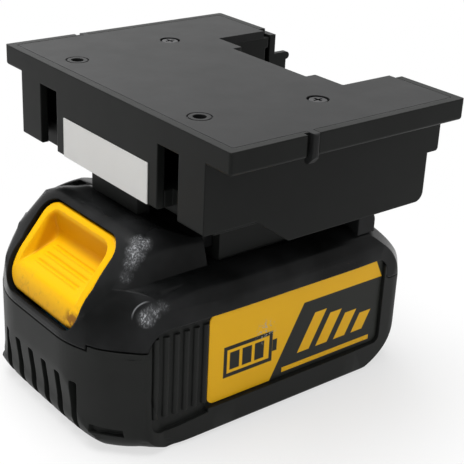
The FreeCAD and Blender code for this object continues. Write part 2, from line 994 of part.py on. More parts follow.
def latch_slide():
    """The arm from the button's back to the hook that holds the adapter."""
    top = latch_arm_bottom + latch_arm_thickness
    hook_top = strike_bottom + hook_engagement
    hook_rear = hook_front_x + hook_length
    corners = [
        (button_back_x(latch_arm_bottom), latch_arm_bottom, 0),
        (hook_rear, latch_arm_bottom, 0),
        (hook_rear, hook_top, hook_tip_radius),
        (hook_front_x, hook_top, hook_tip_radius),
        (hook_front_x, top, 0),
        (button_back_x(top), top, 0)]
    wire = arc_wire(corners, lambda p: V(p.x, -latch_half_width, p.y))
    return Part.Face(wire).extrude(V(0, 2 * latch_half_width, 0))


def notched_plate(grow, low, high):
    """The adapter's plan outline with its stepped rear notch, inset by grow."""
    x0 = plate_front_x + grow
    x1 = plate_rear_x - grow
    outer = plate_half_width - grow
    wide = notch_half_width + grow
    narrow = notch_inner_half_width + grow
    near = [
        (x0, -outer, plate_corner),
        (x1, -outer, plate_corner),
        (x1, -wide, plate_corner),
        (notch_x - grow, -wide, notch_corner),
        (notch_x - grow, -narrow, notch_corner),
        (notch_inner_x - grow, -narrow, notch_corner)]
    far = [(x, -y, radius) for x, y, radius in reversed(near)]
    return plan_prism(near + far, low, high)


def skirt_side_corners():
    """Outline of the skirt seen from the side, with its slanted lower edge."""
    step = adapter_height - skirt_step_drop
    top = lip_bottom + lip_floor / 2
    return [
        (plate_front_x, top, 0),
        (plate_front_x, front_skirt_bottom, skirt_front_edge_radius),
        (skirt_slant_front_x, front_skirt_bottom, skirt_slant_front_radius),
        (skirt_slant_rear_x, rear_skirt_bottom, skirt_slant_rear_radius),
        (lower_rear_x, rear_skirt_bottom, skirt_corner),
        (lower_rear_x, step, 0),
        (upper_rear_x, step, skirt_step_radius),
        (upper_rear_x, top, 0)]


def skirt_shell():
    """Side skirts, front wall and stepped rear walls round an open middle."""
    outer = side_prism(skirt_side_corners(), skirt_half_width)
    inner_half = skirt_half_width - skirt_wall
    step = adapter_height - skirt_step_drop
    inner_front_x = plate_front_x + skirt_wall
    lower = block(
        inner_front_x, lower_rear_x - skirt_wall, -inner_half, inner_half,
        rear_skirt_bottom - 1, step + skirt_wall)
    upper = block(
        inner_front_x, upper_rear_x - skirt_wall, -inner_half, inner_half,
        step + skirt_wall, adapter_height)
    notch = block(
        lower_rear_x - skirt_wall - 1, upper_rear_x + 1, -notch_half_width, notch_half_width,
        deck_top + rear_sill_rise, adapter_height)
    return outer.cut(lower.fuse(upper).fuse(notch))


def rear_wall_tops():
    """The rear walls carried up behind the plate to just below its top face."""
    return both_sides(block(
        upper_rear_x - skirt_wall, upper_rear_x, notch_half_width, skirt_half_width,
        adapter_height - skirt_step_drop + skirt_wall, adapter_height - rear_wall_top_drop))


def notch_walls():
    """The walls that follow the rear notch from the deck up to the plate."""
    solid = notched_plate(0, deck_top, cover_bottom)
    core = notched_plate(skirt_wall, deck_top - 1, cover_bottom + 1)
    ring = solid.cut(core)
    keep = block(
        notch_inner_x - skirt_wall, lower_rear_x,
        -notch_half_width - skirt_wall, notch_half_width + skirt_wall,
        deck_top, cover_bottom)
    return ring.common(keep)


def lip_tray():
    """The overhanging plate edge: a shallow tray whose rim surrounds the cover."""
    tray = notched_plate(0, lip_bottom, adapter_height)
    low_edges = [
        e for e in tray.Edges
        if all(abs(v.Z - lip_bottom) < 1e-6 for v in e.Vertexes)
        and abs(abs(e.CenterOfMass.y) - plate_half_width) < 0.1]
    tray = tray.makeFillet(lip_edge_round, low_edges)
    rebate = notched_plate(rim_width, cover_bottom, adapter_height + 1)
    notch_clear = block(
        notch_inner_x - rim_width - 1, plate_rear_x + 1, -notch_half_width - rim_width,
        notch_half_width + rim_width, cover_bottom, adapter_height + 1)
    square = block(
        notch_x, plate_rear_x - rim_width, -notch_half_width - rim_width - plate_corner,
        notch_half_width + rim_width + plate_corner, cover_bottom, adapter_height + 1)
    open_rebate = rebate.fuse(square).fuse(
        notch_clear.common(notched_plate(0, cover_bottom, adapter_height + 1)))
    well = notched_plate(rim_width, lip_bottom + lip_floor, cover_bottom)
    inner_half = skirt_half_width - skirt_wall
    shaft = block(
        plate_front_x + skirt_wall, plate_rear_x - skirt_wall, -inner_half, inner_half,
        lip_bottom - 1, cover_bottom)
    shaft = shaft.common(notched_plate(skirt_wall, lip_bottom - 1, cover_bottom))
    return tray.cut(open_rebate).cut(well).cut(shaft)


def deck():
    """The floor above the pack, with its front sill, strike bar and front tie."""
    half = skirt_half_width - skirt_wall - carrier_gap
    rear = lower_rear_x - skirt_wall - carrier_gap
    sill_top = deck_top + sill_height
    plate = block(deck_front_x, rear, -half, half, deck_bottom, deck_top)
    sill = block(
        deck_front_x, deck_front_x + sill_thickness, -half, half, deck_bottom, sill_top)
    strike_rear = hook_front_x - latch_clearance
    strike = block(
        strike_rear - strike_thickness, strike_rear, -strike_half_width, strike_half_width,
        strike_bottom, deck_top)
    tie = block(
        plate_front_x + skirt_wall + carrier_gap, tie_rear_x,
        -slot_centre_y + slot_width / 2, slot_centre_y - slot_width / 2,
        front_skirt_bottom, sill_top)
    return [plate, sill, strike, tie]


def guide_rails():
    """The two rails that wrap the pack's flanged block."""
    inner = rail_block_half_width + rail_clearance
    lip_inner = rail_neck_half_width + rail_clearance
    bottom = shoulder_height + rail_floor_clearance
    lip_top = rail_flange_bottom - rail_lip_top_clearance
    corners = [
        (inner, deck_top, 0),
        (inner, lip_top, 0),
        (lip_inner, lip_top, rail_edge_radius),
        (lip_inner, bottom, rail_edge_radius),
        (inner + rail_wall, bottom, rail_outer_radius),
        (inner + rail_wall, deck_top, 0)]
    return both_sides(end_prism(corners, rail_front_x, rail_rear_x))


def cover_posts():
    """Bosses under the cover's two open holes and its two screws, and their bores."""
    posts = []
    bores = []
    for y in (-hole_spacing / 2, hole_spacing / 2):
        posts.append(rod(hole_radius + boss_wall, cover_bottom - deck_bottom, hole_x, y, deck_bottom))
        bores.append(rod(hole_radius, hole_length, hole_x, y, adapter_height - hole_length))
    screw_hole = cover_screw_radius + cover_screw_fit
    depth = cover_screw_length + cover_screw_tip_room
    for y in (-cover_screw_spacing / 2, cover_screw_spacing / 2):
        posts.append(rod(
            cover_screw_radius + boss_wall, cover_bottom - deck_bottom,
            cover_screw_x, y, deck_bottom))
        bores.append(rod(screw_hole, depth, cover_screw_x, y, cover_bottom - depth))
    return posts, bores


def rail_carrier():
    """The adapter's inner moulding: deck, guide rails and the posts that hold the cover."""
    posts, bores = cover_posts()
    return joined(deck() + guide_rails() + posts).cut(Part.makeCompound(bores))


def rear_fingers():
    """Thin upright fingers behind the notch, each with a rounded bead on its end."""
    top = adapter_height - finger_top_drop
    end = plate_rear_x + finger_reach
    neck = end - finger_neck
    root = upper_rear_x - skirt_wall / 2
    corners = [
        (root, top, 0),
        (end - finger_bead_radius, top, 0),
        (neck, top - finger_bead_radius, 0),
        (neck, top - finger_height, finger_neck),
        (root, top - finger_height, 0)]
    wire = arc_wire(corners, lambda p: V(p.x, notch_half_width, p.y))
    web = Part.Face(wire).extrude(V(0, finger_thickness, 0))
    bead = rod(
        finger_bead_radius, finger_thickness,
        end - finger_bead_radius, notch_half_width, top - finger_bead_radius, V(0, 1, 0))
    return both_sides(web.fuse(bead))


def adapter_housing():
    """The adapter's outer moulding: skirts, lips, notch walls and rear fingers."""
    body = joined([skirt_shell(), lip_tray(), notch_walls()] + rear_wall_tops() + rear_fingers())
    slots = []
    for y in (-slot_centre_y, slot_centre_y):
        slots.append(block(
            plate_front_x - 1, plate_front_x + skirt_wall + 1,
            y - slot_width / 2, y + slot_width / 2,
            front_skirt_bottom - 1, adapter_height - slot_top_drop))
    return body.cut(Part.makeCompound(slots + snap_notches()))


def snap_notches():
    """Cutters in the lips for the cover's two snap arms and the grooves beside them."""
    rear = snap_front_x + snap_length + cover_gap
    cutter = block(
        snap_front_x - snap_groove, rear,
        -plate_half_width - 1, -plate_half_width + snap_notch_depth,
        lip_bottom - 1, adapter_height + 1)
    bridge = block(
        snap_front_x - cover_gap, rear,
        -plate_half_width - 1, -plate_half_width + rim_width + 1,
        cover_bottom, adapter_height + 1)
    return both_sides(cutter) + both_sides(bridge)


def top_cover():
    """The flat lid with its holes, ring grooves, screw recesses and two snap arms."""
    grow = rim_width + cover_gap
    lid = notched_plate(grow, cover_bottom, adapter_height)
    clear = rim_width + cover_gap
    fill = block(
        notch_inner_x - clear - 1, plate_rear_x - clear,
        -notch_half_width - clear - 1, notch_half_width + clear + 1,
        cover_bottom, adapter_height)
    lid = joined([lid, fill.common(notched_plate(0, cover_bottom, adapter_height))] + snap_arms())
    cutters = []
    for y in (-hole_spacing / 2, hole_spacing / 2):
        cutters.append(rod(hole_radius, cover_thickness + 2, hole_x, y, cover_bottom - 1))
        floor = adapter_height - hole_ring_depth
        disc = rod(hole_ring_radius + hole_ring_width, cover_thickness, hole_x, y, floor)
        cutters.append(disc.cut(rod(hole_ring_radius, cover_thickness, hole_x, y, floor)))
    for y in (-cover_screw_spacing / 2, cover_screw_spacing / 2):
        cutters.append(rod(
            cover_screw_radius + cover_screw_hole_fit, cover_thickness + 2,
            cover_screw_x, y, cover_bottom - 1))
        cutters.append(rod(
            cover_screw_recess_radius, 3, cover_screw_x, y, adapter_height - cover_screw_recess_depth))
    return lid.cut(Part.makeCompound(cutters))


def snap_arms():
    """Arms that cross the rim, run down in their notches and hook under the lips."""
    root = -plate_half_width + rim_width + snap_root
    outer = -plate_half_width - snap_proud
    inner = -plate_half_width + snap_notch_depth - cover_gap
    corners = [
        (root, adapter_height, 0),
        (outer, adapter_height, snap_edge_radius),
        (outer, lip_bottom, snap_edge_radius),
        (inner, lip_bottom - snap_hook_drop, snap_edge_radius),
        (inner + snap_hook_reach, lip_bottom - snap_hook_drop, snap_edge_radius),
        (inner + snap_hook_reach, lip_bottom - cover_gap, 0),
        (inner, lip_bottom - cover_gap, 0),
        (inner, cover_bottom, 0),
        (root, cover_bottom, 0)]
    arm = end_prism(corners, snap_front_x, snap_front_x + snap_length)
    plan = [
        (snap_front_x, outer, snap_side_round),
        (snap_front_x + snap_length, outer, snap_side_round),
        (snap_front_x + snap_length, root, 0),
        (snap_front_x, root, 0)]
    return both_sides(arm.common(plan_prism(plan, 0, adapter_height)))


def cover_screws():
    """The two cross-head screws in the cover."""
    screws = []
    for y in (-cover_screw_spacing / 2, cover_screw_spacing / 2):
        seat = adapter_height - cover_screw_recess_depth
        head = rod(cover_screw_head_radius, cover_screw_head_height, cover_screw_x, y, seat)
        rim = [e for e in head.Edges if e.CenterOfMass.z > seat + cover_screw_head_height - 1e-6]
        head = head.makeFillet(cover_screw_edge_round, [rim[0]])
        shank = rod(
            cover_screw_radius, cover_screw_length, cover_screw_x, y, seat - cover_screw_length)
        top = seat + cover_screw_head_height
        low = top - cross_depth
        wide = cross_half_width
        x = cover_screw_x
        cross = [
            block(x - cross_arm, x + cross_arm, y - wide, y + wide, low, top + 1),
            block(x - wide, x + wide, y - cross_arm, y + cross_arm, low, top + 1)]
        screws.append(head.fuse(shank).cut(Part.makeCompound(cross)))
    return Part.makeCompound(screws)


def terminal_block():
    """The insulating block under the deck at the end of the rails."""
    front = rail_block_rear_x + dock_clearance
    body = block(
        front, front + terminal_block_length,
        -terminal_block_half_width, terminal_block_half_width,
        terminal_block_bottom, deck_bottom)
    edges = [e for e in body.Edges if abs(e.CenterOfMass.z - terminal_block_bottom) < 1e-6]
    body = body.makeChamfer(terminal_block_chamfer, edges)
    slits = []
    for y, height in contact_places():
        slits.append(block(
            front - 1, front + blade_seat(), y - blade_thickness / 2, y + blade_thickness / 2,
            blade_bottom, blade_bottom + height))
    return body.cut(Part.makeCompound(slits))


def blade_seat():
    """How deep the blades sit in the terminal block."""
    return terminal_block_length - terminal_block_back


def blades(power):
    """The adapter's flat blades, held in the terminal block."""
    pieces = []
    front = rail_block_rear_x + dock_clearance
    for y, height in contact_places():
        if (abs(y) == power_contact_y) != power:
            continue
        tip = front - blade_length
        corners = [
            (tip, blade_bottom, blade_tip_radius),
            (front + blade_seat(), blade_bottom, 0),
            (front + blade_seat(), blade_bottom + height, 0),
            (tip, blade_bottom + height, blade_tip_radius)]
        wire = arc_wire(corners, lambda p: V(p.x, y - blade_thickness / 2, p.y))
        pieces.append(Part.Face(wire).extrude(V(0, blade_thickness, 0)))
    return Part.makeCompound(pieces)


def output_block():
    """The insulating block on the deck in the rear notch."""
    top = deck_top + output_block_height
    body = block(
        notch_inner_x, notch_inner_x + output_block_length,
        -output_block_half_width, output_block_half_width, deck_top, top)
    top_edges = [e for e in body.Edges if abs(e.CenterOfMass.z - top) < 1e-6]
    body = body.makeChamfer(output_block_chamfer, top_edges)
    front = notch_inner_x + output_tab_set_in
    slits = []
    for y in (-output_tab_y, output_tab_y):
        slits.append(block(
            front, front + blade_thickness,
            y - output_tab_width / 2, y + output_tab_width / 2,
            deck_top + output_tab_root, top + 1))
    return body.cut(Part.makeCompound(slits))


def output_tabs():
    """Two flat tabs that stand in the output block."""
    front = notch_inner_x + output_tab_set_in
    low = deck_top + output_tab_root
    high = deck_top + output_block_height + output_tab_rise
    pieces = []
    for y in (-output_tab_y, output_tab_y):
        half = output_tab_width / 2
        corners = [
            (y - half, low, 0),
            (y + half, low, 0),
            (y + half, high, output_tab_radius),
            (y - half, high, output_tab_radius)]
        pieces.append(end_prism(corners, front, front + blade_thickness))
    return Part.makeCompound(pieces)


def lead(side):
    """A wire that lies on the deck in a U from the notch wall."""
    z = deck_top + lead_radius
    start_x = notch_inner_x - skirt_wall
    far_x = start_x - lead_reach
    y = side * output_tab_y
    side_y = side * (output_tab_y + lead_return)
    corners = [V(start_x, y, z), V(far_x, y, z), V(far_x, side_y, z), V(start_x, side_y, z)]
    edges = []
    last = corners[0]
    for i in (1, 2):
        here = corners[i]
        back = corners[i - 1] - here
        ahead = corners[i + 1] - here
        back.normalize()
        ahead.normalize()
        start = here + back * lead_bend
        end = here + ahead * lead_bend
        middle = back + ahead
        middle.normalize()
        crown = here + middle * (lead_bend * math.sqrt(2) - lead_bend)
        edges.append(Part.LineSegment(last, start).toShape())
        edges.append(Part.Arc(start, crown, end).toShape())
        last = end
    edges.append(Part.LineSegment(last, corners[3]).toShape())
    path = Part.Wire(edges)
    profile = Part.Wire(Part.makeCircle(lead_radius, corners[0], V(1, 0, 0)))
    return path.makePipeShell([profile], True, True)


def tape_label():
    """The bare tape on the front face between the slots."""
    bottom = front_skirt_bottom + tape_rise
    return block(
        plate_front_x - tape_thickness, plate_front_x,
        -tape_length / 2, tape_length / 2, bottom, bottom + tape_height)


def nodes():
    """Every sub-part under its name."""
    holder = cell_holder()
    return {
        "adapter_housing": adapter_housing(),
        "rail_carrier": rail_carrier(),
        "top_cover": top_cover(),
        "cover_screws": cover_screws(),
        "terminal_block": terminal_block(),
        "power_blades": blades(True),
        "signal_blades": blades(False),
        "output_block": output_block(),
        "output_tabs": output_tabs(),
        "positive_lead": lead(1),
        "negative_lead": lead(-1),
        "tape_label": tape_label(),
        "upper_case": upper_case(),
        "lower_case": lower_case(),
        "case_screws": case_screws(),
        "label_near": label(-1),
        "label_far": label(1),
        "cells": cells(),
        "cell_holder_near": holder,
        "cell_holder_far": mirrored(holder),
        "cell_straps": cell_straps(),
        "control_board": control_board(),
        "power_clips": contact_clips(True),
        "signal_clips": contact_clips(False),
        "latch_spring": latch_spring(),
        "release_button": release_button(),
        "latch_slide": latch_slide(),
    }


def main():
    os.makedirs("parts", exist_ok=True)
    for name, shape in nodes().items():
        shape.exportStep("parts/" + name + ".step")
        print(name, len(shape.Solids), round(shape.Volume, 1), shape.isValid())


main()
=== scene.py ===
"""Looks of a battery adapter docked on its slide-on battery pack.

The model's frame is in metres: +Z up, +X from the release button to the contact
end, the floor at Z = 0. Named lengths, shapes and surface patterns below are laid
out in millimetres of the same frame.
"""
import math

import bmesh
import bpy
import numpy as np
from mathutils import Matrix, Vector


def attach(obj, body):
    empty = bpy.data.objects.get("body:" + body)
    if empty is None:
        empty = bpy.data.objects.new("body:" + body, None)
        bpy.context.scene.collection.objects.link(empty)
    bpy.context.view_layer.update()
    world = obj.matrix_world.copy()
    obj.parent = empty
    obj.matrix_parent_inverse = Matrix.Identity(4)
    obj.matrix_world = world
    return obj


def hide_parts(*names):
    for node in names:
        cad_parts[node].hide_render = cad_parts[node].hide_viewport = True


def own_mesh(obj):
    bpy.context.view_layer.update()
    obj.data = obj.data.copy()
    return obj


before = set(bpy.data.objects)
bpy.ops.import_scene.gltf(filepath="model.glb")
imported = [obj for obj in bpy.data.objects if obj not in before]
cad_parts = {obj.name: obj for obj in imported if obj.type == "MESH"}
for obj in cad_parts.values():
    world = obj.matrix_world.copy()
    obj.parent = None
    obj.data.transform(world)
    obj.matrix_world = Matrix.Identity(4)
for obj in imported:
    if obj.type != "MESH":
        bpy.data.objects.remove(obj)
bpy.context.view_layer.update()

MM = 0.001

# Camera at the photograph's viewing angle
CAMERA_SPOT = (-200.613, -259.741, 194.249)
CAMERA_TURN_DEG = (65.58176753, -2.48613417, -38.31738461)
CAMERA_LENS = 88.646897
CAMERA_SENSOR = 36.0
CAMERA_NEAREST = 0.01

# Lamps: name, place and target in metres, side in metres, power in watts
LAMPS = (
    ("overhead_softbox", (-0.15, 0.1, 1.1), (0, 0, 0.05), 0.8, 13.0),
    ("rear_softbox", (0.35, 0.9, 0.8), (0, 0, 0.06), 0.4, 1.6),
    ("front_softbox", (-1.0, -0.5, 0.8), (0, 0, 0.04), 0.6, 0.8))
# Rays that see a white background, and the strength of the air's light for all others
WHITE_RAYS = ("Is Camera Ray", "Is Glossy Ray", "Is Transmission Ray")
AIR_STRENGTH = 0.42
# Floor: half its side in metres, points along a side, share of white beside the object,
# and the distances between which it turns wholly white
FLOOR_HALF_SIDE = 3
FLOOR_POINTS = 13
FLOOR_WHITE = 0.66
FLOOR_FADE = (60.0, 170.0)

# Release button, in its own frame: across, up the slope, outward. The foot is where
# that frame starts, as X and Z, and the bulge is given as up and outward
BUTTON_FOOT = (-55.9, 36.3)
BUTTON_SLOPE = math.radians(59.0)
BUTTON_HALF_WIDTH = 19.5
BUTTON_LOW = -1.8
BUTTON_HIGH = 27.4
BUTTON_CORNER = 5.5
BUTTON_BACK = -7.2
BUTTON_FOOT_HEIGHT = 1.3
BUTTON_BULGE = (6.5, 3.3)
BUTTON_BULGE_BLEND = 2.2
BUTTON_CROWN = 0.25
BUTTON_RIM_ROUND = 1.2
BUTTON_SHARP_DEG = 50
# Rings of the button's skin, the points along each, and the points of a corner's quarter
BUTTON_FACE_RINGS = 118
BUTTON_WALL_RINGS = 5
BUTTON_BACK_RINGS = 6
BUTTON_RING_POINTS = 420
QUARTER_POINTS = 25
# Size of the innermost ring of face and back as a share of the outline, and the power
# that crowds the face's rings toward its rim
FACE_INNER_SHARE = 0.004
BACK_INNER_SHARE = 0.01
FACE_RING_POWER = 0.85
# Finger scoop: three places of its floor as up and outward, and the floor's two slopes
SCOOP_LIP = (4.5, 3.95)
SCOOP_DEEP = (17.8, -5.3)
SCOOP_HEAD = (25.5, 0.8)
SCOOP_FALL = (SCOOP_DEEP[1] - SCOOP_LIP[1]) / (SCOOP_DEEP[0] - SCOOP_LIP[0])
SCOOP_CLIMB = (SCOOP_HEAD[1] - SCOOP_DEEP[1]) / (SCOOP_HEAD[0] - SCOOP_DEEP[0])
SCOOP_HALF_WIDTH = 16.4
SCOOP_CORNER = 5.0
SCOOP_OPEN_END = -30.0
SCOOP_WALL_STEEPNESS = 3.2
SCOOP_WALL_RISE = 0.6
SCOOP_FLOOR_BLEND = 3.2
SCOOP_WALL_BLEND = 1.6
SCOOP_EDGE_BLEND = 1.0
# Grip ridges: places along the scoop's floor, and half their length with its soft end.
# A ridge is a bell of a height and width, the dip behind it one of a depth, place and width
RIDGE_PLACES = (5.6, 8.95, 12.3)
RIDGE_HALF_LENGTH = 11.5
RIDGE_END_BLEND = 0.35
RIDGE_BELL = (0.5, 0.5)
RIDGE_DIP = (0.2, 0.9, 0.35)

# Flat faces that meet at the pack's front corners: outward normal, with both sides
# folded to +Y, then distance from the origin
FRONT_FACES = (
    ((-1.0, 0.0, 0.0), 59.4), ((-0.766, 0.0, 0.643), 71.47), ((-0.9625, 0.2713, 0.0), 61.51))
CORNER_FACES = (
    ((-0.7071, 0.7071, 0.0), 59.7), ((-0.6822, 0.6822, 0.2631), 66.02))
BROW_FACES = CORNER_FACES + (((-0.5685, 0.5685, 0.5947), 74.05),)
SIDE_FACES = (((-0.0255, 0.9997, 0.0), 39.35),)
HUMP_SIDE_FACES = (((0.0, 0.9577, 0.2880), 43.03),)
SHOULDER_FACES = (((-0.2425, 0.0, 0.9701), 60.34),)
SHOULDER_HEIGHT = 50.7
PACK_FRONT = -59.4
# Roll of those corners, where it ends and the length over which it fades, and the
# width of the change from the body's roll to the hump's
ROLL = 1.7
ROLLED_FRONT_END = -24.0
ROLL_FADE = 12.0
HUMP_BLEND = 0.8
EXPONENT_LIMIT = 40
# Finer cut of the shells: longest edge left, rounds of cutting, edges too short to keep
FINE_EDGE = 2.4
FINE_ROUNDS = 8
SLIVER = 0.002
CASE_SHARP_DEG = 28
# Radius of the fillet round the base, in the solids and in the skin, and how deep
# inside the pack the fuller foot ends and over which length
BASE_FRONT_FILLETS = (12.0, 8.5)
BASE_CORNER_FILLETS = (9.0, 7.0)
BASE_DEPTH = 28.0
BASE_FADE = 12.0
# How far the rim below the button is lowered, and between which places of the
# button's own frame: up the slope, across and outward
RIM_DROP = 2.6
RIM_BELOW = (-4.9, -0.3)
RIM_ABOVE = (0.5, 9.0)
RIM_BESIDE = (20.2, 23.5)
RIM_DEPTH = (-13.0, -11.0)
# Parting line of the pack's shells: its height at the front, its step up and where that is,
# where it ends, and the groove along it
SEAM_HEIGHT = 32.0
SEAM_STEP = 1.6
SEAM_STEP_AT = 24.0
SEAM_SHOWN_TO = -45.2
SEAM_HALF_WIDTH = 0.3
SEAM_DEPTH = 0.9
SEAM_FIRMNESS = 0.93
# Cuts beside the groove: their gap, the heights about the seam of the faces cut, and
# the distance in metres within which a point counts as on the cut
SEAM_CUT_GAP = 0.005
SEAM_REACH = (-2, 4)
SEAM_ON_CUT = 1e-8

# Latch spring: the angle beyond which its edges are shaded sharp
SPRING_SHARP_DEG = 30

# Painted highlight line along the moulded edge that curls round the near shoulder, also
# raised a little in the bump: centre and radius of its arc, and the ball in which it shows,
# as centre, radius and fade
SHOULDER_HIGHLIGHT_ARC = (-43.4, -36.0, 42.9)
SHOULDER_HIGHLIGHT_ARC_RADIUS = 5.4
SHOULDER_HIGHLIGHT_ARC_SHOWN = ((-46.0, -32.9, 46.3), 1.0, 3.2)
# Worn marks on the shiny black, lighter in colour partly as real wear and partly as a painted sheen and
# highlight: centre, radius, fade beyond it, and strength
RUBBED_AND_SHEEN_MARKS = (
    ((-39.0, -24.2, 61.2), 0.8, 3.4, 1.0),
    ((-41.6, -25.4, 59.4), 0.8, 3.2, 1.0),
    ((-43.8, -26.4, 57.0), 0.2, 3.2, 0.62),
    ((-46.2, -27.6, 54.0), 0.0, 3.0, 0.36),
    ((-44.5, -35.2, 43.6), 0.5, 2.8, 1.0),
    ((-43.0, -36.2, 45.4), 0.2, 2.8, 0.75),
    ((-40.5, -37.0, 46.8), 0.0, 2.8, 0.4),
    ((-41.6, 25.4, 59.4), 0.2, 3.4, 0.6),
    ((52.0, -34.0, 44.0), 0.0, 4.0, 0.5))
# Side labels: X of their front and rear ends, height of their foot, and blur of the print's edges
LABEL_FRONT = -24.6
LABEL_REAR = 45.4
LABEL_FOOT = 9.2
PRINT_BLUR = 0.12
# Print of the side labels, from their lower left corner: the yellow field's edges as a
# point and a heading, and boxes as their lower left and upper right corners. Of the
# slanted bars and the gauge's charge the first box is given, then how the next ones move
FIELD_EDGES = (((24.0, 0.0), 62.0), ((0.0, 23.6), 0.0), ((69.5, 23.6), 116.0))
STRIPE = ((29.0, 1.8), (66.0, 3.4))
BAR = ((31.5, 6.6), (36.3, 18.8))
BAR_COUNT = 4
BAR_PITCH = 7.6
BAR_DROP = 2.0
BAR_SLANT = 0.53
GAUGE_CASE = ((6.0, 7.4), (24.6, 17.8))
GAUGE_HOLLOW = ((7.3, 8.7), (23.3, 16.5))
GAUGE_NUB = ((24.6, 10.6), (26.4, 14.6))
CHARGE = ((8.3, 9.7), (11.9, 15.5))
CHARGE_COUNT = 3
CHARGE_PITCH = 4.7
# Rays that round off an edge in a finish
EDGE_SAMPLES = 6


class Term:
    """A shader socket that takes part in sums, with plain numbers on either side."""

    def __init__(self, owner, socket):
        self.owner = owner
        self.socket = socket

    def _sum(self, operation, *terms):
        """The outcome of one operation on terms and numbers, as a Math node."""
        return self.owner.node("ShaderNodeMath", {"operation": operation}, dict(enumerate(terms)))

    def __add__(self, other):
        return self._sum("ADD", self, other)

    __radd__ = __add__

    def __sub__(self, other):
        return self._sum("SUBTRACT", self, other)

    def __rsub__(self, other):
        return self._sum("SUBTRACT", other, self)

    def __mul__(self, other):
        return self._sum("MULTIPLY", self, other)

    __rmul__ = __mul__

    def __abs__(self):
        return self._sum("ABSOLUTE", self)

    def __and__(self, other):
        return self._sum("MINIMUM", self, other)

    def __or__(self, other):
        return self._sum("MAXIMUM", self, other)


class Tree:
    """A node tree, of a material or of the world, and the expressions written into it."""

    def __init__(self, tree):
        self.tree = tree

    def feed(self, socket, value):
        """Links a term to a socket, or sets the socket's own value."""
        if isinstance(value, Term):
            self.tree.links.new(value.socket, socket)
        elif socket.type == "RGBA":
            socket.default_value = (*value, 1.0)
        else:
            socket.default_value = value

    def node(self, kind, settings=None, sockets=None, out=0):
        """Adds a node: its settings first, then its sockets by name or number."""
        added = self.tree.nodes.new(kind)
        for name, value in (settings or {}).items():
            setattr(added, name, value)
        for name, value in (sockets or {}).items():
            self.feed(added.inputs[name], value)
        return Term(self, added.outputs[out])

    def white_rays(self):
        """1 for the rays that see a white background and 0 for all others."""
        return greatest([self.node("ShaderNodeLightPath", out=name) for name in WHITE_RAYS])


class Finish(Tree):
    """One material: a Principled shader and the expressions that feed it."""

    def __init__(self, name, **constants):
        self.material = bpy.data.materials.new(name)
        self.material.use_nodes = True
        super().__init__(self.material.node_tree)
        self.tree.nodes.clear()
        self.shader = self.tree.nodes.new("ShaderNodeBsdfPrincipled")
        self.output = self.tree.nodes.new("ShaderNodeOutputMaterial")
        self.show(Term(self, self.shader.outputs[0]))
        self._place = None
        self.set(**constants)

    def show(self, shader):
        """Makes a shader the one that is seen."""
        self.feed(self.output.inputs["Surface"], shader)

    def set(self, **values):
        """Feeds the shader's own sockets, named with underscores for spaces."""
        for name, value in values.items():
            self.feed(self.shader.inputs[name.replace("_", " ")], value)

    def spot(self):
        """The point on the surface in millimetres, as one vector."""
        if self._place is None:
            place = self.node("ShaderNodeTexCoord", out="Object")
            self._place = self.node(
                "ShaderNodeVectorMath", {"operation": "SCALE"}, {0: place, "Scale": 1 / MM})
        return self._place

    def along(self, axis):
        """The point's place along X, Y or Z in millimetres."""
        return self.node("ShaderNodeSeparateXYZ", {}, {0: self.spot()}, out=axis)

    def away(self, point):
        """Distance in millimetres from a point."""
        return self.node(
            "ShaderNodeVectorMath", {"operation": "DISTANCE"},
            {0: self.spot(), 1: point}, out="Value")

    def stretched(self, turn_deg, factors):
        """The point turned and then scaled by a factor along each axis."""
        turn = tuple(math.radians(a) for a in turn_deg)
        return self.node(
            "ShaderNodeMapping", {"vector_type": "POINT"},
            {"Vector": self.spot(), "Rotation": turn, "Scale": factors})

    def noise(self, size, detail=2.0, roughness=0.5, where=None):
        """Soft noise from 0 to 1 whose blobs are about size millimetres across."""
        return self.node(
            "ShaderNodeTexNoise", {"noise_dimensions": "3D"},
            {"Vector": where or self.spot(), "Scale": 1 / size, "Detail": detail,
             "Roughness": roughness})

    def pits(self, size, where):
        """Distance to the nearest of many scattered points about size millimetres apart."""
        return self.node(
            "ShaderNodeTexVoronoi", {"feature": "F1"}, {"Vector": where, "Scale": 1 / size})

    def ramp(self, value, low, high):
        """A smooth step from 0 at low to 1 at high."""
        return self.node(
            "ShaderNodeMapRange", {"interpolation_type": "SMOOTHSTEP"},
            {0: value, 1: low, 2: high, 3: 0.0, 4: 1.0})

    def near(self, point, radius, soft):
        """1 inside a ball round a point in millimetres, fading out over soft."""
        return self.ramp(self.away(point), radius + soft, radius)

    def mix(self, share, first, second):
        """Blends two colours by a share from 0 to 1."""
        return self.node(
            "ShaderNodeMix", {"data_type": "RGBA"},
            {0: share, 6: first, 7: second}, out=2)

    def soft_edges(self, radius):
        """The surface's normal with every edge rounded by a radius in millimetres."""
        return self.node("ShaderNodeBevel", {"samples": EDGE_SAMPLES}, {"Radius": radius * MM})

    def relief(self, height, depth, strength=1.0, under=None):
        """Bumps the normal by a height from 0 to 1 that is depth millimetres tall."""
        sockets = {"Height": height, "Distance": depth * MM, "Strength": strength}
        if under is not None:
            sockets["Normal"] = under
        return self.node("ShaderNodeBump", {}, sockets)

    def grain(self, size, depth, strength, under=None, detail=1.0):
        """Bumps the normal by soft noise whose blobs are about size millimetres across."""
        return self.relief(self.noise(size, detail), depth, strength, under)

    def put_on(self, *names):
        """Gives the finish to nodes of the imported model."""
        for name in names:
            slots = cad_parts[name].data.materials
            slots.clear()
            slots.append(self.material)


def greatest(terms):
    """The greatest of several terms."""
    most, *others = terms
    for term in others:
        most = most | term
    return most


def toned(colour, factor):
    """A colour made lighter or darker by a factor."""
    return tuple(factor * c for c in colour)


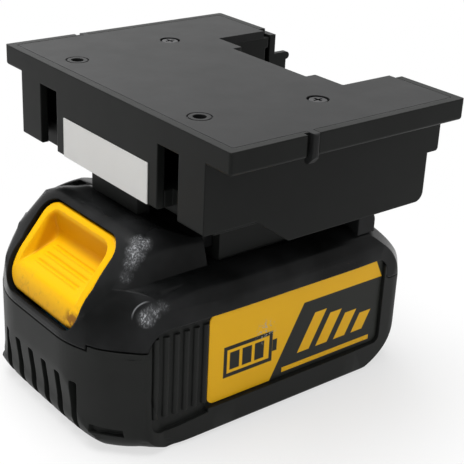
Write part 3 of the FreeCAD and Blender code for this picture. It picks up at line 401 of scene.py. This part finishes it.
def moulded_black(name, shade, roughness, gloss, edge=0.35):
    """Black moulded plastic: fine grain, cloudy gloss, specks of dust and softened edges."""
    f = Finish(name, Specular_IOR_Level=gloss)
    cloud = f.noise(28.0, 3.0, 0.55)
    handling = f.noise(9.0, 4.0, 0.6)
    dust = f.ramp(f.noise(0.8, 1.0), 0.72, 0.8) * 0.25
    tone = f.ramp(cloud, 0.3, 0.75) * 0.35 + dust
    f.set(Base_Color=f.mix(tone, shade, toned(shade, 2.2)))
    f.set(Roughness=roughness + (cloud - 0.5) * 0.14 + (handling - 0.5) * 0.1)
    fine = f.grain(0.35, 0.012, 0.5, f.soft_edges(edge))
    f.set(Normal=f.grain(22.0, 0.05, 0.35, fine))
    return f


def scuffed_black(name, shade, roughness, gloss):
    """The pack's shiny black plastic, worn rough on its hump and near shoulder. Those worn patches are
    lighter, partly as real wear and partly as a painted sheen and highlight, and a painted highlight
    line follows the crease round the near shoulder.
    """
    f = Finish(name, Specular_IOR_Level=gloss)
    # Worn patches: lighter specks as real wear, on a painted sheen that stands in for the highlight on
    # them
    rub_and_sheen = greatest([f.near(spot, radius, soft) * share for spot, radius, soft, share in RUBBED_AND_SHEEN_MARKS])
    chips = f.noise(0.5, 3.0, 0.7, f.stretched((0, 40, 0), (1.0, 1.0, 0.5)))
    patch = f.ramp(f.noise(2.4, 2.0), 0.40, 0.60) * 0.65 + 0.35
    scuff_and_sheen = rub_and_sheen * (f.ramp(chips, 0.46, 0.64) * patch * 0.86 + 0.14)
    # Painted highlight: a light line along the crease round the near shoulder, also raised a little in
    # the bump
    arc = f.ramp(abs(f.away(SHOULDER_HIGHLIGHT_ARC) - SHOULDER_HIGHLIGHT_ARC_RADIUS), 0.35, 0.05)
    arc = arc * f.near(*SHOULDER_HIGHLIGHT_ARC_SHOWN)
    cloud = f.noise(24.0, 3.0, 0.55)
    tone = f.ramp(cloud, 0.3, 0.75) * 0.03 + (scuff_and_sheen | arc * 0.4)
    f.set(Base_Color=f.mix(tone, shade, (0.50, 0.51, 0.53)))
    f.set(Roughness=roughness + (cloud - 0.5) * 0.12 - scuff_and_sheen * 0.05)
    under = f.relief(arc, 0.28, 1.0, f.soft_edges(0.6))
    dents = f.relief(chips * rub_and_sheen, 0.25, 0.9, under)
    fine = f.grain(0.3, 0.008, 0.4, dents)
    f.set(Normal=f.grain(18.0, 0.06, 0.35, fine))
    return f


def up_and_out(x, z):
    """Places up the button's slope and outward from it, of arrays or of terms."""
    back = x - BUTTON_FOOT[0]
    rise = z - BUTTON_FOOT[1]
    up = back * math.cos(BUTTON_SLOPE) + rise * math.sin(BUTTON_SLOPE)
    out = rise * math.cos(BUTTON_SLOPE) - back * math.sin(BUTTON_SLOPE)
    return up, out


def along_scoop(up):
    """How far along the scoop's falling floor a place up the button's slope is from the lip."""
    return (up - SCOOP_LIP[0]) * math.hypot(1, SCOOP_FALL)


def button_yellow():
    """Bright yellow moulded plastic, soiled at its lower lip and on the scoop's floor, with a dark brown
    blot at one end of the lip, and painted shade on the scoop's walls, behind the grip ridges and on the
    lower lip.
    """
    f = Finish("button_yellow", Specular_IOR_Level=0.08)
    across = 0 - f.along("Y")
    up, out = up_and_out(f.along("X"), f.along("Z"))
    lip = f.ramp(up, 4.8, -0.8)
    floor = f.ramp(up, 13.0, 5.0) * f.ramp(f.noise(5.0, 3.0), 0.45, 0.65)
    grime = f.noise(1.6, 4.0, 0.65)
    speck = f.ramp(grime, 0.48, 0.72)
    blot = f.ramp(across, 12.0, 15.0) * f.ramp(up, 4.2, 2.2) * f.ramp(f.noise(2.2, 3.0), 0.4, 0.54)
    dirt = lip * 0.2 + speck * lip * 0.42 + speck * floor * 0.2
    # Painted shade: the scoop's head and side walls, the dip behind each grip ridge and the lower lip
    # are darkened where shade falls
    head_wall = f.ramp(up, 15.5, 19.0) * f.ramp(out, 0.6, -0.8)
    side_walls = f.ramp(abs(across), 13.6, 15.0) * f.ramp(out, 0.8, -0.8)
    run = along_scoop(up)
    ridge_shadow = greatest([f.ramp(abs(run - place - 0.8), 0.5, 0.1) for place in RIDGE_PLACES])
    ridge_shadow = ridge_shadow * f.ramp(abs(across), RIDGE_HALF_LENGTH + 0.3, RIDGE_HALF_LENGTH - 0.6)
    shaded = head_wall | side_walls | ridge_shadow * 0.6 | lip * 0.45
    yellow_with_painted_shade = f.mix(shaded, (0.90, 0.485, 0.003), (0.62, 0.27, 0.001))
    soiled = f.mix(dirt, yellow_with_painted_shade, (0.38, 0.22, 0.05))
    f.set(Base_Color=f.mix(blot * 0.85, soiled, (0.22, 0.08, 0.01)))
    f.set(Roughness=0.38 + dirt * 0.3 + (f.noise(6.0, 2.0) - 0.5) * 0.12)
    fine = f.grain(0.35, 0.008, 0.4, f.soft_edges(0.5))
    f.set(Normal=f.grain(9.0, 0.05, 0.3, fine))
    return f


def half_plane(f, u, v, point, heading_deg):
    """1 on the left of a line through a point, looking along its heading."""
    heading = math.radians(heading_deg)
    side = (v - point[1]) * math.cos(heading) - (u - point[0]) * math.sin(heading)
    return f.ramp(side, -PRINT_BLUR, PRINT_BLUR)


def band(f, value, low, high):
    """1 between two values, with blurred ends."""
    begun = f.ramp(value, low - PRINT_BLUR, low + PRINT_BLUR)
    return begun & f.ramp(value, high + PRINT_BLUR, high - PRINT_BLUR)


def panel(f, u, v, low, high, slant=0.0):
    """1 inside a box between two corners whose ends lean by slant per unit of height."""
    return band(f, u - v * slant, low[0], high[0]) & band(f, v, low[1], high[1])


def moved_box(box, step):
    """The two corners of a box moved along the label by a step."""
    return [(corner[0] + step, corner[1]) for corner in box]


def printed_label(name, side):
    """Dark film with a yellow field, a charge gauge and slanted bars, printed on a side label.

    u runs along the label from its left end as seen, v up from its foot. side
    is -1 for the near label and 1 for the far one.
    """
    f = Finish(name, Specular_IOR_Level=0.16)
    x = f.along("X")
    u = x - LABEL_FRONT if side < 0 else LABEL_REAR - x
    v = f.along("Z") - LABEL_FOOT
    rising, level, falling = [half_plane(f, u, v, *edge) for edge in FIELD_EDGES]
    bright_parts = [(rising | level) & falling, panel(f, u, v, *STRIPE)]
    for i in range(BAR_COUNT):
        low, high = moved_box(BAR, BAR_PITCH * i)
        bright_parts.append(panel(f, u, v, low, (high[0], high[1] - BAR_DROP * i), BAR_SLANT))
    hollow = panel(f, u, v, *GAUGE_HOLLOW)
    gauge_parts = [panel(f, u, v, *GAUGE_CASE) & (1 - hollow), panel(f, u, v, *GAUGE_NUB)]
    for i in range(CHARGE_COUNT):
        gauge_parts.append(panel(f, u, v, *moved_box(CHARGE, CHARGE_PITCH * i)))
    yellow = greatest(bright_parts) & (1 - greatest(gauge_parts))
    chip = f.near((-3.0, side * 37.5, 27.5), 1.5, 3.5) * f.ramp(f.noise(0.9, 3.0, 0.7), 0.55, 0.62)
    haze = f.noise(14.0, 3.0) * 0.12
    dark = f.mix(haze, (0.0125, 0.0140, 0.0112), (0.035, 0.035, 0.033))
    bright = f.mix(haze, (0.92, 0.50, 0.008), (0.80, 0.43, 0.02))
    ink = f.mix(yellow, dark, bright)
    f.set(Base_Color=f.mix(chip, ink, (0.42, 0.42, 0.40)))
    f.set(Roughness=0.38 + (f.noise(11.0, 3.0) - 0.5) * 0.16)
    fine = f.grain(0.6, 0.01, 0.4, detail=2.0)
    f.set(Normal=f.grain(12.0, 0.05, 0.3, fine))
    return f


def white_tape():
    """Laminated white tape with a faint paper cloud and its ends a little greyer."""
    f = Finish("white_tape", Specular_IOR_Level=0.4)
    ends = f.ramp(abs(f.along("Y")), 20.9, 22.0) * 0.25
    cloud = f.noise(7.0, 3.0) * 0.2
    f.set(Base_Color=f.mix(ends + cloud, (0.66, 0.66, 0.645), (0.52, 0.52, 0.51)))
    f.set(Roughness=0.42 + (f.noise(3.0, 2.0) - 0.5) * 0.1)
    f.set(Normal=f.grain(5.0, 0.03, 0.3, f.soft_edges(0.1), 2.0))
    return f


def plated(name, colour, roughness):
    """Sheet metal or wire: drawn streaks, a few tarnish clouds and soft edges."""
    f = Finish(name, Metallic=1.0)
    drawn = f.noise(1.0, 2.0, 0.5, f.stretched((0, 0, 0), (0.15, 3.0, 3.0)))
    cloud = f.ramp(f.noise(6.0, 3.0), 0.45, 0.7)
    f.set(Base_Color=f.mix(cloud * 0.5, colour, toned(colour, 0.6)))
    f.set(Roughness=roughness + (drawn - 0.5) * 0.15 + cloud * 0.08)
    f.set(Normal=f.relief(drawn, 0.01, 0.4, f.soft_edges(0.12)))
    return f


def sleeve(name, colour, roughness):
    """Thin soft plastic over wire or cells: slight creases and a dull sheen."""
    f = Finish(name, Specular_IOR_Level=0.45)
    crease = f.noise(3.0, 3.0, 0.6)
    f.set(Base_Color=f.mix(f.ramp(crease, 0.3, 0.8) * 0.4, colour, toned(colour, 0.65)))
    f.set(Roughness=roughness + (crease - 0.5) * 0.15)
    f.set(Normal=f.relief(crease, 0.05, 0.4))
    return f


def circuit_board():
    """Green laminate with copper tracks under the mask."""
    f = Finish("circuit_board", Specular_IOR_Level=0.5)
    tracks = f.ramp(f.pits(4.0, f.stretched((0, 0, 0), (1.0, 0.3, 1.0))), 0.5, 0.56)
    f.set(Base_Color=f.mix(tracks * 0.7, (0.012, 0.11, 0.04), (0.03, 0.2, 0.07)))
    f.set(Roughness=0.35 + f.noise(2.0, 2.0) * 0.1)
    f.set(Normal=f.relief(tracks, 0.03, 0.5))
    return f


def pale_floor():
    """The floor: off-white near the object, turning white for the rays that see the background."""
    f = Finish("pale_floor", Specular_IOR_Level=0.0, Roughness=0.9)
    paper = f.noise(60.0, 2.0)
    f.set(Base_Color=f.mix(paper * 0.1, (0.80, 0.80, 0.80), (0.76, 0.76, 0.76)))
    glow = f.node("ShaderNodeEmission", {}, {"Color": (1, 1, 1)})
    far = f.ramp(f.away((0, 0, 0)), *FLOOR_FADE)
    share = (far * (1 - FLOOR_WHITE) + FLOOR_WHITE) * f.white_rays()
    paint = Term(f, f.shader.outputs[0])
    f.show(f.node("ShaderNodeMixShader", {}, {0: share, 1: paint, 2: glow}))
    return f


def sheet_mesh(name, points):
    """A thing from a grid of points, with a quad between every four neighbours."""
    rows, columns = points.shape[:2]
    mesh = bpy.data.meshes.new(name)
    index = np.arange(rows * columns).reshape(rows, columns)
    quads = np.stack([index[:-1, :-1], index[:-1, 1:], index[1:, 1:], index[1:, :-1]], -1)
    mesh.from_pydata(points.reshape(-1, 3), [], quads.reshape(-1, 4).tolist())
    mesh.update()
    thing = bpy.data.objects.new(name, mesh)
    bpy.context.scene.collection.objects.link(thing)
    return thing


def soft_least(a, b, blend):
    """The lesser of two heights, with their meeting line rounded over a blend width.

    Where they differ by less than the blend, the lesser is lowered by a quarter
    of the blend times the square of how much less.
    """
    near = np.clip(blend - abs(a - b), 0, None) / blend
    return np.minimum(a, b) - near ** 2 * blend / 4


def soft_most(a, b, blend):
    """The greater of two heights: the soft least of both turned upside down."""
    return -soft_least(-a, -b, blend)


def smooth_step(value, low, high):
    """0 below low, 1 above high and between them three squares less two cubes of the share."""
    share = np.clip((value - low) / (high - low), 0, 1)
    return share * share * (3 - 2 * share)


def inside_round_box(across, up, half, low, high, corner):
    """Distance inward from the edge of a rounded rectangle, below zero outside it."""
    qx = abs(across) - half + corner
    qy = abs(up - (low + high) / 2) - (high - low) / 2 + corner
    outside = np.hypot(np.clip(qx, 0, None), np.clip(qy, 0, None))
    return corner - outside - np.clip(np.maximum(qx, qy), None, 0)


def round_box_outline(half, low, high, corner, count):
    """Evenly spaced points along a rounded rectangle: four quarter circles joined by straights."""
    turn = np.linspace(0, np.pi / 2, QUARTER_POINTS)
    arcs = []
    for i, (sx, sy) in enumerate(((1, 1), (-1, 1), (-1, -1), (1, -1))):
        a = turn + i * np.pi / 2
        cx = sx * (half - corner)
        cy = high - corner if sy > 0 else low + corner
        arcs.append(np.stack([cx + corner * np.cos(a), cy + corner * np.sin(a)], -1))
    ring = np.concatenate(arcs + [arcs[0][:1]])
    run = np.concatenate([[0], np.cumsum(np.hypot(*np.diff(ring, axis=0).T))])
    at = np.linspace(0, run[-1], count, endpoint=False)
    return np.interp(at, run, ring[:, 0]), np.interp(at, run, ring[:, 1])


def bell(distance, height, width):
    """A bell curve of a height, which falls with the square of the distance over the width."""
    return height * np.exp(-(distance / width) ** 2)


def button_height(across, up):
    """Height of the button's face above its slope.

    The face rises in a line to its bulge and falls in a line to its head, and is
    crowned by a parabola across. The scoop's floor falls from its lip to its
    deepest line and rises to its head, and its side walls fall steeply inward
    from its rounded outline. Floor and walls join by a soft maximum, the scoop
    cuts the face by a soft minimum, and the rim drops by a quarter circle. Each
    grip ridge adds a narrow bell with a shallow dip behind it.
    """
    bulge_up, bulge = BUTTON_BULGE
    rise = BUTTON_FOOT_HEIGHT + (bulge - BUTTON_FOOT_HEIGHT) * up / bulge_up
    fall = bulge * (BUTTON_HIGH - up) / (BUTTON_HIGH - bulge_up)
    crown = BUTTON_CROWN * (1 - (across / BUTTON_HALF_WIDTH) ** 2)
    face = soft_least(rise, fall, BUTTON_BULGE_BLEND) + crown
    floor = SCOOP_LIP[1] + SCOOP_FALL * (up - SCOOP_LIP[0])
    head = SCOOP_DEEP[1] + SCOOP_CLIMB * (up - SCOOP_DEEP[0])
    trough = soft_most(floor, head, SCOOP_FLOOR_BLEND)
    dip_depth, dip_place, dip_width = RIDGE_DIP
    for place in RIDGE_PLACES:
        gap = along_scoop(up) - place
        ends = 1 / (1 + np.exp((abs(across) - RIDGE_HALF_LENGTH) / RIDGE_END_BLEND))
        trough = trough + ends * (bell(gap, *RIDGE_BELL) - bell(gap - dip_place, dip_depth, dip_width))
    inward = inside_round_box(
        across, up, SCOOP_HALF_WIDTH, SCOOP_OPEN_END, SCOOP_HEAD[0], SCOOP_CORNER)
    walls = face + SCOOP_WALL_RISE - SCOOP_WALL_STEEPNESS * inward
    height = soft_least(face, soft_most(trough, walls, SCOOP_WALL_BLEND), SCOOP_EDGE_BLEND)
    rim = inside_round_box(across, up, BUTTON_HALF_WIDTH, BUTTON_LOW, BUTTON_HIGH, BUTTON_CORNER)
    short = np.clip(BUTTON_RIM_ROUND - rim, 0, BUTTON_RIM_ROUND)
    return height - BUTTON_RIM_ROUND + np.sqrt(BUTTON_RIM_ROUND ** 2 - short ** 2)


def stand_in(name, mesh, finish, body, node):
    """Puts a new skin in the scene: it wears a finish, rides a body and stands for a node, which it
    hides.
    """
    mesh.materials.clear()
    mesh.materials.append(finish.material)
    piece = bpy.data.objects.new(name, mesh)
    bpy.context.scene.collection.objects.link(piece)
    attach(piece, body)
    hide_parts(node)
    return piece


def merged_copy(name, node):
    """A copy of a node's mesh with its doubled points merged, as a mesh and an open edit of it."""
    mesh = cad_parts[node].data.copy()
    mesh.name = name
    work = bmesh.new()
    work.from_mesh(mesh)
    bmesh.ops.remove_doubles(work, verts=work.verts, dist=SLIVER * MM)
    return mesh, work


def close_edit(mesh, work):
    """Writes an open edit back to its mesh and drops the normals that the mesh had stored."""
    work.to_mesh(mesh)
    work.free()
    if "custom_normal" in mesh.attributes:
        mesh.attributes.remove(mesh.attributes["custom_normal"])


def shade_smooth(mesh, sharp_deg):
    """Shades a mesh smooth, with sharp edges where its faces meet at more than an angle."""
    mesh.shade_smooth()
    mesh.set_sharp_from_angle(angle=math.radians(sharp_deg))


def button_skin():
    """The release button as one closed skin.

    Rings shrink from its rounded outline to a pole in the middle of its face, at
    the height of button_height. From the outline the skin goes straight down to
    its back and closes there in a second pole.
    """
    count = BUTTON_RING_POINTS
    edge_x, edge_y = round_box_outline(BUTTON_HALF_WIDTH, BUTTON_LOW, BUTTON_HIGH, BUTTON_CORNER, count)
    middle = (BUTTON_LOW + BUTTON_HIGH) / 2
    face_share = np.linspace(FACE_INNER_SHARE, 1, BUTTON_FACE_RINGS)[:, None] ** FACE_RING_POWER
    wall_share = np.linspace(0, 1, BUTTON_WALL_RINGS + 1)[1:, None]
    back_share = np.linspace(1, BACK_INNER_SHARE, BUTTON_BACK_RINGS + 1)[1:, None]
    share = np.concatenate([face_share, np.ones_like(wall_share), back_share])
    across = share * edge_x
    up = middle + share * (edge_y - middle)
    face = button_height(across[:BUTTON_FACE_RINGS], up[:BUTTON_FACE_RINGS])
    wall = face[-1] + wall_share * (BUTTON_BACK - face[-1])
    out = np.concatenate([face, wall, np.full((BUTTON_BACK_RINGS, count), BUTTON_BACK)])
    x = BUTTON_FOOT[0] + up * math.cos(BUTTON_SLOPE) - out * math.sin(BUTTON_SLOPE)
    z = BUTTON_FOOT[1] + up * math.sin(BUTTON_SLOPE) + out * math.cos(BUTTON_SLOPE)
    points = np.stack([x, -across, z], -1) * MM
    rows = len(points)
    index = np.arange(rows * count).reshape(rows, count)
    beside = np.roll(index, -1, axis=1)
    quads = np.stack([index[:-1], index[1:], beside[1:], beside[:-1]], -1).reshape(-1, 4)
    first = rows * count
    last = first + 1
    poles = np.stack([points[0].mean(0), points[-1].mean(0)])
    front_fan = np.stack([np.full(count, first), index[0], beside[0]], -1)
    back_fan = np.stack([np.full(count, last), beside[-1], index[-1]], -1)
    mesh = bpy.data.meshes.new("button_skin")
    mesh.from_pydata(
        np.concatenate([points.reshape(-1, 3), poles]), [],
        quads.tolist() + front_fan.tolist() + back_fan.tolist())
    shade_smooth(mesh, BUTTON_SHARP_DEG)
    stand_in("button_skin", mesh, button_yellow(), "release", "release_button")


def face_distance(spots, faces):
    """Distance of each point beyond the outermost of some flat faces, and their blended normal.

    The distance is below zero inside. A face's share in the normal falls off
    exponentially with how much further out the outermost one is.
    """
    normals = np.array([n for n, d in faces])
    gaps = spots @ normals.T - np.array([d for n, d in faces])
    shares = np.exp((gaps - gaps.max(1, keepdims=True)) / ROLL)
    return gaps.max(1), (shares / shares.sum(1, keepdims=True)) @ normals


def roll_of(spots, groups):
    """How a form bounded by groups of faces is rolled where two groups meet.

    The roll is the soft maximum of the groups' distances less their plain
    maximum, and it points inward along their blended normals.
    """
    pairs = [face_distance(spots, faces) for faces in groups]
    gaps = np.stack([gap for gap, normal in pairs], -1)
    top = gaps.max(1, keepdims=True)
    shares = np.exp((gaps - top) / ROLL)
    depth = ROLL * np.log(shares.sum(1))
    shares = shares / shares.sum(1, keepdims=True)
    normal = sum(shares[:, i:i + 1] * pair[1] for i, pair in enumerate(pairs))
    normal = normal / np.linalg.norm(normal, axis=1, keepdims=True)
    return top[:, 0], -depth[:, None] * normal, shares, normal


def fillet_gain(height, radii):
    """How far a wall moves out where the fillet at its foot goes from one radius to a smaller one.

    Below its radius a fillet is set in by the radius less the other leg of a
    right triangle, whose long side is the radius and whose leg is what the height
    is short of it. The gain is the first inset less the second.
    """
    insets = []
    for radius in radii:
        short = np.clip(radius - height, 0, radius)
        insets.append(radius - np.sqrt(radius ** 2 - short ** 2))
    return insets[0] - insets[1]


def fuller_base(height, gap, shares):
    """How far the foot of the front and its corners moves outward, less and less further in."""
    gain = shares[:, 0] * fillet_gain(height, BASE_FRONT_FILLETS)
    gain = gain + shares[:, 1] * fillet_gain(height, BASE_CORNER_FILLETS)
    return gain * np.clip((gap + BASE_DEPTH) / BASE_FADE, 0, 1)


def cut_beside_seam(work, above):
    """Cuts a shell's front along its edge of the parting groove, which steps up at both sides.

    above is 1 for the upper shell and -1 for the lower one. Every edge gets two
    close cuts, so that the groove's wall between them can stand square.
    """
    for near in (SEAM_HALF_WIDTH - SEAM_CUT_GAP, SEAM_HALF_WIDTH + SEAM_CUT_GAP):
        cuts = [((0, 0, SEAM_HEIGHT + above * near), (0, 0, 1))]
        cuts.append(((0, 0, SEAM_HEIGHT + SEAM_STEP + above * near), (0, 0, 1)))
        for side in (-1, 1):
            cuts.append(((0, side * (SEAM_STEP_AT - above * near), 0), (0, 1, 0)))
        for spot, normal in cuts:
            faces = [f for f in work.faces if crosses_seam(f)]
            edges = list(dict.fromkeys(e for f in faces for e in f.edges))
            corners = list(dict.fromkeys(v for f in faces for v in f.verts))
            bmesh.ops.bisect_plane(
                work, geom=corners + edges + faces, dist=SEAM_ON_CUT,
                plane_co=[c * MM for c in spot], plane_no=normal)


def crosses_seam(face):
    """True for a face of the pack's front that comes near the parting line's heights."""
    heights = [v.co.z / MM for v in face.verts]
    foremost = min(v.co.x for v in face.verts) / MM
    low, high = (SEAM_HEIGHT + reach for reach in SEAM_REACH)
    return foremost < SEAM_SHOWN_TO and min(heights) < high and max(heights) > low


def seam_depth(spots, gap):
    """How far each point is pushed in to form the groove along the stepped parting line.

    Within the groove's width of the line, a point goes in by its height over the
    groove's floor. The groove runs out over the last millimetre before its end.
    """
    across = abs(spots[:, 1])
    height = spots[:, 2] - SEAM_HEIGHT
    wide = SEAM_HALF_WIDTH
    middle = (abs(height) < wide) & (across < SEAM_STEP_AT + wide)
    raised = (abs(height - SEAM_STEP) < wide) & (across > SEAM_STEP_AT - wide)
    step = (abs(across - SEAM_STEP_AT) < wide) & (height > -wide) & (height < SEAM_STEP + wide)
    fade = np.clip(SEAM_SHOWN_TO - spots[:, 0], 0, 1)
    return (middle | raised | step) * np.clip(gap + SEAM_DEPTH, 0, None) * SEAM_FIRMNESS * fade


def rim_drop(spots):
    """How far down each point of the case moves to lower the rim below the button.

    The drop is full along the rim. It falls by smooth steps to nothing at the
    parting line below it, beyond its corners, up the button's sides and deep in
    the case.
    """
    up, out = up_and_out(spots[:, 0], spots[:, 2])
    along = smooth_step(up, *RIM_BELOW) * (1 - smooth_step(up, *RIM_ABOVE))
    across = 1 - smooth_step(abs(spots[:, 1]), *RIM_BESIDE)
    return RIM_DROP * along * across * smooth_step(out, *RIM_DEPTH)


def rolled_front(spots):
    """Moves points of the pack inward where its front, corner and side faces meet.

    The pack's body and its hump each have a roll. A point takes the roll of the
    one whose surface is nearer, with a soft change between them. The foot moves
    outward, level, by fuller_base, and all this fades out behind the front. Then
    seam_depth moves the groove's points inward, level, and rim_drop the rim down.
    """
    side = np.where(spots[:, 1] < 0, -1.0, 1.0)
    folded = spots * np.stack([np.ones_like(side), side, np.ones_like(side)], -1)
    body_gap, body_roll, shares, normal = roll_of(
        folded, (FRONT_FACES, CORNER_FACES, SIDE_FACES, SHOULDER_FACES))
    hump_gap, hump_roll = roll_of(folded, (FRONT_FACES, BROW_FACES, HUMP_SIDE_FACES))[:2]
    above = np.maximum(body_gap, spots[:, 2] - SHOULDER_HEIGHT)
    change = np.clip((above - hump_gap) / HUMP_BLEND, -EXPONENT_LIMIT, EXPONENT_LIMIT)
    body_share = 1 / (1 + np.exp(change))
    level = normal * np.array([1.0, 1.0, 0.0])
    level = level / np.linalg.norm(level, axis=1, keepdims=True)
    move = body_share[:, None] * body_roll + (1 - body_share[:, None]) * hump_roll
    move = move + fuller_base(spots[:, 2], body_gap, shares)[:, None] * level
    move = move * smooth_step(ROLLED_FRONT_END - spots[:, 0], 0.0, ROLL_FADE)[:, None]
    move = move - seam_depth(spots, body_gap)[:, None] * level
    move[:, 1] *= side
    move[:, 2] -= rim_drop(spots)
    moved = spots + move
    return np.stack([
        np.clip(moved[:, 0], PACK_FRONT, None), moved[:, 1], np.clip(moved[:, 2], 0, None)], -1)


def cut_to_triangles(work):
    """Cuts every face of an open edit with more than three corners into triangles."""
    bmesh.ops.triangulate(work, faces=[f for f in work.faces if len(f.verts) > 3])


def rolled_case(name, node, finish, above):
    """A merged copy of one of the pack's shells, cut finer at its front and rolled there."""
    mesh, work = merged_copy(name, node)
    cut_beside_seam(work, above)
    for turn in range(FINE_ROUNDS):
        long_edges = [
            e for e in work.edges
            if e.calc_length() > FINE_EDGE * MM and min(v.co.x for v in e.verts) < ROLLED_FRONT_END * MM]
        bmesh.ops.subdivide_edges(work, edges=long_edges, cuts=1)
        cut_to_triangles(work)
    bmesh.ops.dissolve_degenerate(work, dist=SLIVER * MM, edges=work.edges)
    cut_to_triangles(work)
    close_edit(mesh, work)
    spots = np.empty(len(mesh.vertices) * 3, np.float32)
    mesh.vertices.foreach_get("co", spots)
    rolled = rolled_front(spots.reshape(-1, 3).astype(float) / MM) * MM
    mesh.vertices.foreach_set("co", rolled.astype(np.float32).ravel())
    mesh.update()
    shade_smooth(mesh, CASE_SHARP_DEG)
    piece = stand_in(name, mesh, finish, "battery_pack", node)
    even = piece.modifiers.new("even_normals", "WEIGHTED_NORMAL")
    even.keep_sharp = True


def pressed_spring():
    """A merged copy of the latch spring in a mesh of its own, shaded smooth with sharp edges."""
    mesh, work = merged_copy("pressed_spring", "latch_spring")
    close_edit(mesh, work)
    shade_smooth(mesh, SPRING_SHARP_DEG)
    wire = plated("spring_wire", (0.5, 0.5, 0.52), 0.28)
    piece = stand_in("pressed_spring", mesh, wire, "battery_pack", "latch_spring")
    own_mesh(piece)


def floor_sheet():
    """A flat square floor under the object: Z stays 0 over the grid."""
    side = np.linspace(-FLOOR_HALF_SIDE, FLOOR_HALF_SIDE, FLOOR_POINTS)
    x, y = np.meshgrid(side, side)
    floor = sheet_mesh("floor", np.stack([x, y, 0 * x], -1))
    floor.data.materials.append(pale_floor().material)


def soft_lamp(name, spot, target, side, power):
    """A square area lamp at a spot, turned to face a target, in metres and watts."""
    data = bpy.data.lights.new(name, "AREA")
    data.shape = "RECTANGLE"
    data.size = side
    data.size_y = side
    data.energy = power
    lamp = bpy.data.objects.new(name, data)
    bpy.context.scene.collection.objects.link(lamp)
    lamp.location = spot
    aim = Vector(target) - Vector(spot)
    lamp.rotation_euler = aim.to_track_quat("-Z", "Y").to_euler()


def studio():
    """Soft even light from above with weaker lamps at the rear and front, in white air."""
    for lamp in LAMPS:
        soft_lamp(*lamp)
    world = bpy.data.worlds.new("studio_air")
    bpy.context.scene.world = world
    world.use_nodes = True
    air = Tree(world.node_tree)
    background = world.node_tree.nodes["Background"]
    air.feed(background.inputs["Color"], (1, 1, 1))
    level = air.node("ShaderNodeMapRange", {}, {0: air.white_rays(), 3: AIR_STRENGTH, 4: 1.0})
    air.feed(background.inputs["Strength"], level)


def camera():
    """The camera at the photograph's place, with no shift and no depth of field."""
    data = bpy.data.cameras.new("camera")
    data.sensor_width = CAMERA_SENSOR
    data.lens = CAMERA_LENS
    data.clip_start = CAMERA_NEAREST
    eye = bpy.data.objects.new("camera", data)
    bpy.context.scene.collection.objects.link(eye)
    eye.location = [c * MM for c in CAMERA_SPOT]
    eye.rotation_euler = [math.radians(a) for a in CAMERA_TURN_DEG]
    bpy.context.scene.camera = eye


def dress_model():
    """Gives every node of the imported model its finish, or a skin that stands for it."""
    moulded_black("adapter_black", (0.0070, 0.0076, 0.0071), 0.42, 0.10, 0.6).put_on(
        "adapter_housing", "rail_carrier")
    # The cover's black is lighter than the housing's: painted light on its upward face
    moulded_black("cover_black_painted_light", (0.0120, 0.0123, 0.0125), 0.42, 0.11).put_on("top_cover")
    upper_black = scuffed_black("upper_pack_black", (0.0026, 0.0029, 0.0028), 0.24, 0.08)
    rolled_case("rolled_upper_case", "upper_case", upper_black, 1)
    lower_black = moulded_black("lower_pack_black", (0.0105, 0.0112, 0.0105), 0.46, 0.12, 0.4)
    rolled_case("rolled_lower_case", "lower_case", lower_black, -1)
    button_skin()
    moulded_black("inner_black", (0.02, 0.02, 0.021), 0.5, 0.3).put_on(
        "terminal_block", "output_block", "cell_holder_near", "cell_holder_far", "latch_slide")
    printed_label("label_print_near", -1).put_on("label_near")
    printed_label("label_print_far", 1).put_on("label_far")
    white_tape().put_on("tape_label")
    plated("dark_screw", (0.022, 0.022, 0.024), 0.30).put_on("cover_screws", "case_screws")
    plated("contact_brass", (0.72, 0.55, 0.26), 0.25).put_on(
        "power_blades", "signal_blades", "output_tabs", "power_clips", "signal_clips")
    plated("nickel_strip", (0.66, 0.64, 0.60), 0.3).put_on("cell_straps")
    pressed_spring()
    sleeve("cell_sleeve", (0.05, 0.18, 0.27), 0.4).put_on("cells")
    sleeve("red_insulation", (0.45, 0.02, 0.015), 0.45).put_on("positive_lead")
    sleeve("black_insulation", (0.014, 0.014, 0.014), 0.45).put_on("negative_lead")
    circuit_board().put_on("control_board")


def make():
    """Builds the whole scene."""
    dress_model()
    floor_sheet()
    studio()
    camera()
    bpy.context.scene.view_settings.view_transform = "Standard"


make()
